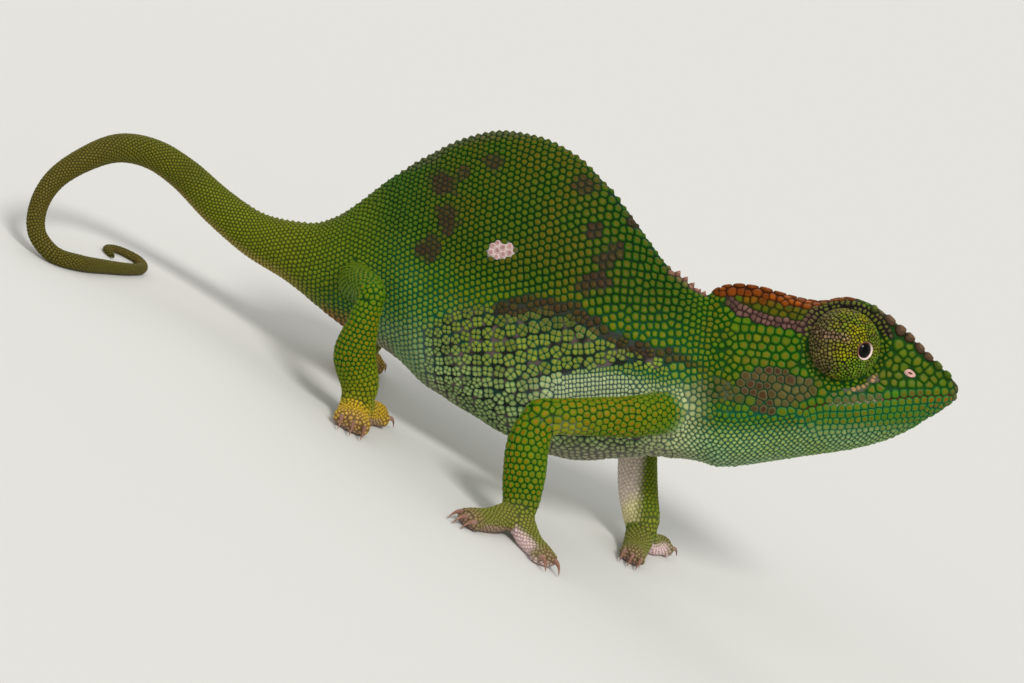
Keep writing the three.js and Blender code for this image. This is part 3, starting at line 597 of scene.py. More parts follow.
def size_at(pl):
    """Scale width in mm."""
    x = pl.a
    flank = interp(x, [-30, -17, -9, -2, 7, 16, 24, 30], [0.72, 0.85, 0.92, 1.02, 1.22, 1.4, 1.32, 1.0])
    ridge = interp(x, [-30, -10, 5, 20, 27], [0.72, 0.85, 0.98, 1.15, 0.9])
    t = ramp(pl.lift, 0.72, 0.95)
    size = flank * (1 - t) + ridge * t
    low = ramp(-pl.lift, 0.35, 0.95)
    size = size * (1 - low) + np.minimum(size, 0.86) * low
    size = np.where(pl.s > S_VENT, interp(pl.s, [S_VENT, S_TAIL, S_TAIL + 12, S_TAIL + 60, AX.length], [0.80, 0.68, 0.60, 0.47, 0.36]), size)
    # head
    h = np.full(len(x), 0.9)
    temple = ramp(pl.hx, 3.5, 8) * ramp(pl.hz, -2.0, 1.0)
    h = h * (1 - temple) + 1.26 * temple
    cheek = ramp(pl.hx, 5.5, 8) * (1 - ramp(pl.hx, 16, 19)) * ramp(pl.hz, -4.6, -3.6) * (1 - ramp(pl.hz, -1, 1))
    h = h * (1 - cheek) + 1.12 * cheek
    face = ramp(pl.hx, 21, 26) * ramp(pl.hz, -2.6, -1.4)
    h = h * (1 - face) + 1.24 * face
    gular = 1 - ramp(pl.hz, -6.4, -4.9)
    h = h * (1 - gular) + 0.8 * gular
    nose = ramp(pl.hx, 34.5, 37.5)
    h = h * (1 - nose) + 1.0 * nose
    roof = ramp(pl.hz, 8.0, 9.5) * ramp(pl.hx, 2.0, 4.0)
    h = h * (1 - roof) + 1.22 * roof
    r, _ = eye_polar(pl)
    ring = 1 - ramp(r, 6.5, 7.3)
    h = h * (1 - ring) + 0.62 * ring
    neck = (1 - ramp(pl.hx, 0.0, 5.0))
    h = h * (1 - neck) + 0.88 * neck
    size = size * (1 - pl.head) + h * pl.head
    # limbs
    limb = np.full(len(x), 1.05)
    for leg, part, lo, hi in (("arm", ("upper",), 1.0, 1.25), ("arm", ("lower",), 1.22, 0.85), ("leg", ("upper",), 0.84, 0.84), ("leg", ("lower",), 0.86, 0.72)):
        m = loft_is(pl, leg, part)
        limb = np.where(m, lo + (hi - lo) * pl.along, limb)
    for key, (leg_name, part) in LOFTS.items():
        if (leg_name, part) == ("arm_left", "lower"):
            limb = np.where(pl.loft == key, 0.66, limb)
    m = loft_is(pl, None, TOES)
    limb = np.where(m, interp(pl.along, [0, 0.5, 1], [0.72, 0.62, 0.5]), limb)
    limb = np.where(m & (pl.p[:, 2] < 0.7), 0.5, limb)
    size = size * (1 - armpit(pl)) + 0.68 * armpit(pl)
    return size * (1 - pl.limb) + limb * pl.limb


# ------------------------------------------------------------------ finishing the skin's shape
def taubin(v, rounds, weight=None):
    w = 1.0 if weight is None else weight[:, None]
    for _ in range(rounds):
        v = v + (neighbour_mean(v) - v) * 0.5 * w
        v = v + (neighbour_mean(v) - v) * -0.515 * w
    return v


skin_at = Place(SV)
edge_mix = (skin_at.loft[edges[:, 0]] != skin_at.loft[edges[:, 1]])
junction = np.zeros(len(SV))
junction[edges[edge_mix].ravel()] = 1.0
on_toe = loft_is(skin_at, None, TOES).astype(float)
for _ in range(7):
    junction = np.maximum(junction * 0.9, neighbour_mean(junction))
junction = np.clip(junction * 1.6, 0, 1) * (1 - 0.7 * on_toe)
SV = taubin(SV, 5)
for _ in range(9):
    SV = SV + (neighbour_mean(SV) - SV) * 0.5 * junction[:, None]

# the thin end of the tail is brought back to its exact round section
k = np.array([line_tree.find(q)[1] for q in SV])
rel = SV - AX.c[k]
slide = np.einsum("ij,ij->i", rel, AX.t[k])
rel -= AX.t[k] * slide[:, None]
ang = np.arctan2(np.einsum("ij,ij->i", rel, AX.up[k]) / AX.tall[k], np.einsum("ij,ij->i", rel, AX.side[k]) / AX.wide[k])
s_here = np.clip(AX.s[k] + slide, 0, AX.length)
thin = ramp(AX.s[k], S_TAIL + 4, S_TAIL + 14) * (AX.s[k] < AX.length - 0.7)
exact = AX.point(s_here, ang, 0.0)
centre = AX.at(s_here)
shrink = 1 - coat_depth(np.minimum(centre["tall"], centre["wide"])) / np.minimum(centre["tall"], centre["wide"])
exact = centre["c"] + (exact - centre["c"]) * shrink[:, None]
SV = SV * (1 - thin[:, None]) + exact * thin[:, None]

# folds and openings of the face
SN = point_normals(SV, SQ)
hx, hy, hz = head_coords(SV)
d_mouth, _ = line_distance(hx, hz, MOUTH)
push = -0.24 * np.exp(-((d_mouth / 0.36) ** 2)) * (hx > 13.5) * (hx < 38.6)
NOSTRIL, NOSTRIL_TILT = (30.9, 1.15), math.radians(-24)


def nostril_oval(x, z):
    """Distances from the nostril's middle, along its slit and across it."""
    dx, dz = x - NOSTRIL[0], z - NOSTRIL[1]
    return dx * math.cos(NOSTRIL_TILT) + dz * math.sin(NOSTRIL_TILT), dz * math.cos(NOSTRIL_TILT) - dx * math.sin(NOSTRIL_TILT)


_u, _w = nostril_oval(hx, hz)
push -= 0.4 * np.exp(-((_u / 0.62) ** 2 + (_w / 0.42) ** 2)) * (hx > 25)
d_crest, _ = line_distance(hx, hz, CREST_LINE)
push += 0.28 * np.exp(-((d_crest / 0.75) ** 2)) * (hz > 7.0) * (hx > 2)
push -= 0.3 * np.exp(-(((hx - 9.5) ** 2) / 30 + ((hz - 3.4) ** 2) / 14)) * (hx > 0)
for side in (1, -1):
    c, look = eye_at(side)
    r = np.linalg.norm(SV - c, axis=1)
    push -= 0.3 * np.exp(-(((r - 5.7) / 0.42) ** 2)) * (hy * side > 0)
    push += 0.16 * np.exp(-(((r - 6.75) / 0.5) ** 2)) * (hy * side > 0)
wave = np.sin(SV[:, 0] * 0.9 + 1.3 * np.sin(SV[:, 2] * 0.35)) * np.sin(SV[:, 2] * 0.55 + 0.7) + 0.6 * np.sin(SV[:, 0] * 0.41 - SV[:, 2] * 0.8)
push += 0.07 * wave * (1 - skin_at.head) * (skin_at.s < S_TAIL) * (1 - skin_at.limb)
SV = SV + SN * push[:, None]
SV[:, 2] = np.maximum(SV[:, 2], 0.1)
SN = point_normals(SV, SQ)
skin_bvh = BVHTree.FromPolygons(SV.tolist(), SQ.tolist())
SN_soft = SN.copy()
for _ in range(2):
    SN_soft = unit(SN_soft + neighbour_mean(SN_soft))
skin_tree = tree_of(SV)


def drop(points):
    """The nearest skin point for each point, and how far it was."""
    out, gap = np.zeros((len(points), 3)), np.zeros(len(points))
    for i, p in enumerate(points):
        hit = skin_bvh.find_nearest(p)
        out[i], gap[i] = hit[0], hit[3]
    return out, gap


def soft_normal(points):
    out = np.zeros((len(points), 3))
    for i, p in enumerate(points):
        n = np.zeros(3)
        for _, j, d in skin_tree.find_n(p, 4):
            n += SN_soft[j] / (d + 0.1)
        out[i] = n
    return unit(out)


# ------------------------------------------------------------------ where the scales grow
GRANULE, SUB, PLATE, KNOB, CONE, BEAD, TUBERCLE, SPINE_KIND, SHINGLE = range(9)


class Seeds:
    def __init__(self):
        self.p, self.size, self.kind, self.cluster = [], [], [], []

    def add(self, p, size, kind, cluster=-1):
        self.p.append(np.asarray(p, float))
        self.size.append(float(size))
        self.kind.append(kind)
        self.cluster.append(cluster)


def side_hit(x, z, side):
    o = head_point(np.array(x), np.array(25.0 * side), np.array(z))
    hit = skin_bvh.ray_cast(Vector(o), Vector(-HY * side))
    return None if hit[0] is None else np.array(hit[0])


def walk(line, spacing, offset):
    """Points spaced along a polyline, moved sideways by offset (up is positive when the line runs forward)."""
    line = np.array(line, float)
    seg = np.hypot(*np.diff(line, axis=0).T)
    knots = np.concatenate([[0], np.cumsum(seg)])
    n = max(1, int(round(knots[-1] / spacing)))
    out = []
    for i in range(n):
        d = (i + 0.5) * knots[-1] / n
        j = min(np.searchsorted(knots, d, side="right") - 1, len(seg) - 1)
        t = (d - knots[j]) / seg[j]
        p = line[j] * (1 - t) + line[j + 1] * t
        w = (line[j + 1] - line[j]) / seg[j]
        out.append(p + np.array([-w[1], w[0]]) * offset)
    return out


seeds = Seeds()
KNOBS = [(25.6, 11.0, 2.0), (27.9, 9.5, 2.1), (29.8, 8.0, 2.0), (31.0, 6.2, 2.0), (32.6, 4.6, 1.9), (33.9, 3.1, 1.8), (35.4, 1.5, 1.7), (36.9, 0.5, 1.5)]
for side in (1, -1):
    for x, z, w in KNOBS:
        r = head_row([x])[0]
        p = head_point(np.array(x), np.array(side * r[2] * 0.93), np.array(r[3] + 0.35))
        seeds.add(drop([p])[0][0], w, KNOB)
    for offset, spacing, size in ((0.62, 1.28, 1.16), (-0.62, 1.14, 1.08), (-1.6, 1.1, 1.05), (-2.52, 1.02, 0.98), (-3.4, 0.94, 0.92), (-4.2, 0.9, 0.88)):
        for x, z in walk(MOUTH[:-1] if offset < -1 else MOUTH, spacing, offset):
            if x > 37.4:
                continue
            p = side_hit(x, z, side)
            if p is not None:
                seeds.add(p, size, PLATE)
    # the rough ridge at the casque's side, two uneven rows of small knobs, and the same round the eye socket
    for offset, spacing, size in ((0.42, 0.86, 0.90), (-0.36, 0.74, 0.78)):
        for x, z in walk(CREST_LINE, spacing, offset):
            p = side_hit(x + rng.normal(0, 0.14), z + rng.normal(0, 0.10), side)
            if p is not None:
                seeds.add(p, size * (1 + np.clip(rng.normal(0, 0.16), -0.3, 0.3)), TUBERCLE)
    for wide, tall, turn in ((6.35, 5.55, 0.0), (7.0, 6.25, 3.2)):
        for deg in np.arange(154 - turn, 8, -6.6):
            x, z = EYE_CENTRE[0] + wide * math.cos(math.radians(deg)), EYE_CENTRE[2] + tall * math.sin(math.radians(deg))
            p = side_hit(x + rng.normal(0, 0.07), z + rng.normal(0, 0.07), side)
            if p is not None:
                seeds.add(p, 0.78 * (1 + rng.normal(0, 0.10)), TUBERCLE)
    for j in range(5):
        for x in np.arange(3.6, 20.0, 1.22):
            x = x + 0.61 * (j % 2) + rng.normal(0, 0.12)
            low, high = (interp(x, [h[0] for h in HEAD], [h[k] for h in HEAD]) for k in (3, 1))
            z = high - 1.35 - 1.05 * j + rng.normal(0, 0.09)
            p = side_hit(x, z, side) if z > low + 0.95 else None
            if p is not None:
                seeds.add(p, 1.24 * (1 + rng.normal(0, 0.09)), PLATE)
head_lattice = []
for side in (1, -1):
    for j in range(-8, 20):
        for i in range(-2, 32):
            x = 3.0 + 1.34 * (i + 0.5 * (j % 2)) + rng.normal(0, 0.15)
            z = -5.4 + 1.16 * j - 0.10 * (x - 10) + rng.normal(0, 0.13)
            temple_zone = 4.6 < x < 17.0 and z > -4.6
            loreal_zone = x >= 17.0 and x < 36.6 and z > -1.6
            if not (temple_zone or loreal_zone):
                continue
            if math.hypot(x - EYE_CENTRE[0], z - EYE_CENTRE[2]) < 7.4 or z > interp(x, [4, 8, 16, 26, 36], [10.2, 9.0, 8.4, 10.5, 1.0]) - 0.9:
                continue
            p = side_hit(x, z, side)
            if p is not None:
                head_lattice.append(p)
for x in (2.3, 4.0, 5.9, 7.8, 9.9, 12.0, 13.8, 15.3, 16.8, 18.4, 20.2, 22.2):
    hit = skin_bvh.ray_cast(Vector(head_point(np.array(x), np.array(0.0), np.array(30.0))), Vector(-HZ))
    if hit[0] is not None:
        seeds.add(np.array(hit[0]), 1.95 if 5 < x < 13 else 1.6, PLATE)
# a few soft spines in the notch behind it
for x, y in ((-3.4, 0.0), (-2.3, 0.0), (-1.3, 0.0), (-0.3, 0.35), (0.5, -0.35)):
    hit = skin_bvh.ray_cast(Vector(head_point(np.array(x), np.array(y), np.array(30.0))), Vector(-HZ))
    if hit[0] is not None:
        seeds.add(np.array(hit[0]), 1.05, SPINE_KIND)
hit = skin_bvh.ray_cast(Vector(head_point(np.array(45.0), np.array(0.0), np.array(-1.0))), Vector(-HX))
if hit[0] is not None:
    seeds.add(np.array(hit[0]), 1.5, PLATE)
# the row of small cones along the back
s = AX.knots[1] + 2.0
while s < S_VENT + 20:
    p, gap = drop([AX.point(np.array([s]), np.array([np.pi / 2]), 0.0)[0]])
    if gap[0] < 1.2:
        seeds.add(p[0], interp(s, [AX.knots[1], AX.knots[6], S_VENT], [1.15, 1.1, 0.85]), CONE)
    s += interp(s, [AX.knots[1], AX.knots[6], S_VENT], [1.12, 1.2, 0.95])
n_special = len(seeds.p)


def rosette_weight(pl):
    top = interp(pl.a, [-16, -8, 2, 10, 16, 22, 28], [1.0, 5.2, 5.6, 3.9, 0.5, -1.6, -3.0])
    return ramp(top - pl.b, -0.6, 1.2) * ramp(pl.a, -15, -10) * (1 - ramp(pl.a, 21.5, 24.5)) * (1 - ramp(-pl.lift, 0.86, 0.97)) * (pl.limb < 0.3) * (1 - pl.head) * (pl.hx < 0) * (1 - armpit(pl))


class Grid:
    """Accepts points that keep their distance from those already in."""

    def __init__(self, cell=1.3):
        self.cell, self.cells = cell, {}

    def key(self, p):
        return int(math.floor(p[0] / self.cell)), int(math.floor(p[1] / self.cell)), int(math.floor(p[2] / self.cell))

    def clear(self, p, size, share):
        kx, ky, kz = self.key(p)
        for i in (kx - 1, kx, kx + 1):
            for j in (ky - 1, ky, ky + 1):
                for m in (kz - 1, kz, kz + 1):
                    for q, w in self.cells.get((i, j, m), ()):
                        lim = share * 0.5 * (size + w)
                        if (p[0] - q[0]) ** 2 + (p[1] - q[1]) ** 2 + (p[2] - q[2]) ** 2 < lim * lim:
                            return False
        return True

    def put(self, p, size):
        self.cells.setdefault(self.key(p), []).append(((p[0], p[1], p[2]), size))


def spread(points, size, rounds, strength, fixed=None, reach=1.0):
    """Pushes crowded points apart along the skin."""
    points = points.copy()
    for _ in range(rounds):
        t = tree_of(points)
        push = np.zeros_like(points)
        for i, p in enumerate(points):
            if fixed is not None and fixed[i]:
                continue
            for q, j, d in t.find_n(p, 7):
                if j == i or d < 1e-6:
                    continue
                want = reach * 0.5 * (size[i] + size[j])
                if d < want:
                    push[i] += (p - points[j]) / d * (want - d)
        moved = drop(points + push * strength)[0]
        points = moved if fixed is None else np.where(fixed[:, None], points, moved)
    return points


# rosettes: clusters of small granules low on the flanks
def cluster_width(pl):
    return interp(pl.a, [-18, -8, 0, 12, 20], [1.25, 1.75, 2.08, 2.12, 1.7])


centres, widths = [], []
theta = np.linspace(0, 2 * np.pi, 361)
s, row = AX.knots[2], 0
while s < AX.knots[11]:
    ring = AX.point(np.full(361, s), theta, -0.2)
    at = Place(ring)
    width, ros = cluster_width(at), rosette_weight(at)
    step = np.linalg.norm(np.diff(ring, axis=0), axis=1) / (0.5 * (width[1:] + width[:-1]))
    total = np.concatenate([[0], np.cumsum(step)])
    n = int(round(total[-1]))
    t = ((np.arange(n) + 0.5 * (row % 2)) * total[-1] / n) % total[-1]
    angles = np.interp(t, total, theta)
    good = np.interp(angles, theta, ros) > 0.5
    if good.any():
        centres.append(AX.point(np.full(good.sum(), s), angles[good], -0.2))
        widths.append(np.interp(angles[good], theta, width))
    s += 0.87 * (float(np.mean(width[ros > 0.5])) if (ros > 0.5).any() else 1.5)
    row += 1
centres, widths = drop(np.concatenate(centres))[0], np.concatenate(widths)
grid = Grid(2.0)
order = [i for i in range(len(centres)) if grid.clear(centres[i], widths[i], 0.7) and not grid.put(centres[i], widths[i])]
centres, widths = centres[order], widths[order]
skin_ros, skin_cw = rosette_weight(skin_at), cluster_width(skin_at)
more = [i for i in rng.permutation(np.flatnonzero(skin_ros > 0.5)) if grid.clear(SV[i], skin_cw[i], 0.86) and not grid.put(SV[i], skin_cw[i])]
centres, widths = np.concatenate([centres, SV[more]]), np.concatenate([widths, skin_cw[more]])
centres = drop(centres + rng.normal(0, 0.17, centres.shape))[0]
centres = spread(centres, widths, 3, 0.25)
cn = soft_normal(centres)
for i, (c, w, n) in enumerate(zip(centres, widths, cn)):
    if w < 1.3:
        seeds.add(c, w * 0.9, GRANULE)
        continue
    t1 = unit(np.cross(n, [0.3, 0.1, 0.95]))
    t2 = np.cross(n, t1)
    m = 5 if i % 3 == 0 else 4
    start = rng.random() * 6.28
    for j in range(m):
        a = start + 2 * np.pi * j / m + rng.normal(0, 0.13)
        r = w * (0.255 if m == 4 else 0.29)
        seeds.add(c + (t1 * math.cos(a) + t2 * math.sin(a)) * r, w * 0.46, SUB, i)
n_rosette = len(seeds.p)
for p in head_lattice:
    seeds.add(p, 1.28 * (1 + np.clip(rng.normal(0, 0.13), -0.22, 0.26)), PLATE)
print("rosettes", len(centres))


def lattice(point_fn, s_values, size_fn, accept, kind):
    """Rows of scales round a loft: even steps along it, and steps of each scale's own width round it."""
    theta = np.linspace(0, 2 * np.pi, 241)
    for row, s in enumerate(s_values):
        ring = point_fn(s, theta)
        w = size_fn(ring)
        step = np.linalg.norm(np.diff(ring, axis=0), axis=1) / (0.5 * (w[1:] + w[:-1]))
        total = np.concatenate([[0], np.cumsum(step)])
        n = max(5, int(round(total[-1])))
        t = (np.arange(n) + 0.5 * (row % 2) + 0.03) * total[-1] / n
        a = np.interp(t % total[-1], total, theta)
        pts = point_fn(s, a)
        out, gap = drop(pts)
        ok = accept(out, gap)
        for p, w1 in zip(out[ok], np.interp(a, theta, w)[ok]):
            seeds.add(p, w1, kind)


def axis_ok(out, gap):
    pl = Place(out)
    throat = (pl.hx > -4.4) & (pl.hz < -5.2)
    return (gap < 0.8) & (pl.loft <= 1) & (pl.limb < 0.4) & (pl.hx < 1.5) & (rosette_weight(pl) < 0.5) & ~throat & (armpit(pl) < 0.5)


s_rows, s = [], AX.knots[1] - 2
while s < AX.length - 0.3:
    s_rows.append(s)
    mid = Place(AX.point(np.array([s, s]), np.array([0.15, 0.7]), -0.2))
    s += 0.87 * float(np.mean(size_at(mid))) if s < S_VENT else 0.9 * float(np.mean(size_at(mid)))
lattice(lambda s, a: AX.point(np.full(len(a), s), a, -0.2), s_rows, lambda ring: size_at(Place(ring)), axis_ok, GRANULE)
# finer rows in the armpit
lattice(lambda s, a: AX.point(np.full(len(a), s), a, -0.2), np.arange(AX.knots[1], AX.knots[9], 0.60), lambda ring: np.full(len(ring), 0.68), lambda out, gap: (gap < 0.8) & (armpit(Place(out)) >= 0.5) & (Place(out).limb < 0.4), GRANULE)
# throat and chin: small beads in rows
for row, x in enumerate(np.arange(-4.6, 37.4, 0.45)):
    ring = head_rings([x], 60, -0.3)[0]
    lo = ring[head_coords(ring)[2] < (-6.0 if x > 14 else -5.0)]
    if len(lo) < 3:
        continue
    seg = np.concatenate([[0], np.cumsum(np.linalg.norm(np.diff(lo, axis=0), axis=1))])
    # rows run forward from the throat, so they are counted out from the middle of the chin
    mid_d = seg[-1] / 2
    n = int(mid_d / 1.18) + 1
    d = mid_d + (np.arange(-n, n + 1) + 0.5 * (row % 2)) * 1.18
    d = d[(d > 0) & (d < seg[-1])]
    pts = np.stack([np.interp(d, seg, lo[:, k]) for k in range(3)], 1)
    out, gap = drop(pts)
    for p, g in zip(out, gap):
        if g < 0.7:
            seeds.add(p, 0.80, BEAD)
# limbs and feet
for (leg_name, part), (rows, across) in limb_soup.items():
    length = chord_knots(rows)[-1]
    key = LOFT_KEYS[leg_name, part]

    def limb_point(s, a, rows=rows, across=across, length=length):
        c, w, d, t, p, q = limb_frame(rows, [np.clip(s, 0, length)], across)
        over = max(0.0, s - length)
        r = min(w[0], d[0]) - 0.2
        kk = math.sqrt(max(0.0, 1 - (over / r) ** 2)) if over < r else 0.02
        pts = c + t * over + p * ((w - 0.2) * kk * np.cos(a))[:, None] + q * ((d - 0.2) * kk * np.sin(a))[:, None]
        pts[:, 2] = np.maximum(pts[:, 2], 0.1)
        return pts

    s, rows_s = 0.2, []
    last = length + (1.5 if part in TOES else 0.0)
    while s < last:
        rows_s.append(s)
        mid = Place(limb_point(s, np.array([0.1, 1.6, 3.1])))
        s += 0.87 * float(np.mean(size_at(mid)))
    lattice(limb_point, rows_s, lambda ring: size_at(Place(ring)), lambda out, gap, key=key: (gap < 0.55) & (Place(out).loft == key), GRANULE)
print("planned", len(seeds.p))

# keep what has room, then fill what is bare
P, W, KIND, CL = np.array(seeds.p), np.array(seeds.size), np.array(seeds.kind), np.array(seeds.cluster)
eyes = [eye_at(1), eye_at(-1)]


def near_opening(p, size):
    for c, _ in eyes:
        if np.linalg.norm(p - c) < EYE_RADIUS + 0.25:
            return True
    x, y, z = head_coords(p)
    u, w = nostril_oval(x, z)
    return x > 26 and math.hypot(u / 1.3, w / 0.85) < 1


grid, keep = Grid(2.3), []
for i in range(len(P)):
    if near_opening(P[i], W[i]):
        continue
    share = 0.5 if i < n_special else (0.62 if i < n_rosette else 0.74)
    if grid.clear(P[i], W[i], share):
        grid.put(P[i], W[i])
        keep.append(i)
P, W, KIND, CL = P[keep], W[keep], KIND[keep], CL[keep]
placed = np.array(keep) < n_special
skin_at = Place(SV)
skin_size = size_at(skin_at)
extra_p, extra_w = [], []
for i in rng.permutation(len(SV)):
    w = skin_size[i]
    share = 0.86
    if grid.clear(SV[i], w, share) and not near_opening(SV[i], w):
        grid.put(SV[i], w)
        extra_p.append(SV[i])
        extra_w.append(w)
print("kept", len(P), "filled", len(extra_p))
ek = np.full(len(extra_p), GRANULE)
P, W, KIND, CL = np.concatenate([P, extra_p]), np.concatenate([W, extra_w]), np.concatenate([KIND, ek]), np.concatenate([CL, np.full(len(extra_p), -1)])
placed = np.concatenate([placed, np.zeros(len(extra_p), bool)])
fixed = np.isin(KIND, (KNOB, CONE, TUBERCLE, SUB, SPINE_KIND)) | placed
loose = ~fixed
uneven = np.array([0.085, 0.12])[(np.abs(head_coords(P)[0] + 5) < 8).astype(int)]
uneven = np.where(KIND == PLATE, 0.04, uneven)
P[loose] = drop(P[loose] + rng.normal(0, 1, (loose.sum(), 3)) * (uneven * W)[loose][:, None])[0]
W = W * np.where(fixed, 1.0, 1 + np.clip(rng.normal(0, 0.11, len(W)), -0.22, 0.24))
P = spread(P, W, 3, 0.28, fixed, 0.93)
AT = Place(P)
size_here = size_at(AT)
head_plate = (AT.head > 0.5) & (AT.hx > 4.5) & (AT.hz > -5.2) & (KIND == GRANULE) & (size_here > 1.02)
KIND[head_plate] = PLATE
KIND[(AT.limb > 0.5) & (KIND == GRANULE) & ~loft_is(AT, None, TOES) & ~(loft_is(AT, "leg", ("upper",)) & (AT.along < 0.6))] = SHINGLE
print("scales", len(P), {k: int((KIND == k).sum()) for k in range(9)})


# ------------------------------------------------------------------ colours
def rgb(r, g, b):
    """An sRGB colour, 0 to 255, as linear values."""
    c = np.array([r, g, b], float) / 255
    return np.where(c <= 0.04045, c / 12.92, ((c + 0.055) / 1.055) ** 2.4)


TONE = 0.62  # how dark the hide is against the sRGB values named below


def mix(a, b, t):
    t = np.asarray(t, float)
    if t.ndim == 1:
        t = t[:, None]
    return a * (1 - t) + b * t


def noise(p, scale, seed=0):
    """Smooth value noise from a hashed lattice, -1 to 1."""
    q = np.asarray(p, float) / scale + 31.7 * (seed + 1)
    i = np.floor(q).astype(np.int64)
    f = q - i
    f = f * f * (3 - 2 * f)
    out = np.zeros(len(q))
    for dx in (0, 1):
        for dy in (0, 1):
            for dz in (0, 1):
                h = (i[:, 0] + dx) * 73856093 ^ (i[:, 1] + dy) * 19349663 ^ (i[:, 2] + dz) * 83492791 ^ seed * 2654435761
                h = (h ^ (h >> 13)) * 1274126177 & 0x7FFFFFFF
                v = (h % 20011) / 20011 * 2 - 1
                w = (f[:, 0] if dx else 1 - f[:, 0]) * (f[:, 1] if dy else 1 - f[:, 1]) * (f[:, 2] if dz else 1 - f[:, 2])
                out += v * w
    return out


def brown_weight(pl):
    """The dark brown marks on the back and the band behind the shoulder."""
    out = np.zeros(len(pl.p))
    n = noise(pl.p, 1.6, 3) * 0.28 + noise(pl.p, 0.8, 4) * 0.15
    for x, y, rx, ry in PATCHES:
        d = np.hypot((pl.a - x) / (rx * 1.7), (pl.b - y) / (ry * 1.7))
        out = np.maximum(out, ramp(1.3 - d + 1.5 * n, 0.0, 0.6))
    d, along = line_distance(pl.a, pl.b, BAND)
    width = interp(along, [0, 5, 12, 18, 24, 33], [1.2, 1.6, 1.2, 1.0, 1.1, 0.7])
    out = np.maximum(out, ramp(1.2 - d / width + 1.3 * n, 0.0, 0.6))
    return out * (1 - pl.limb) * (pl.s < S_VENT) * (1 - ramp(pl.lift, 1.02, 1.1))


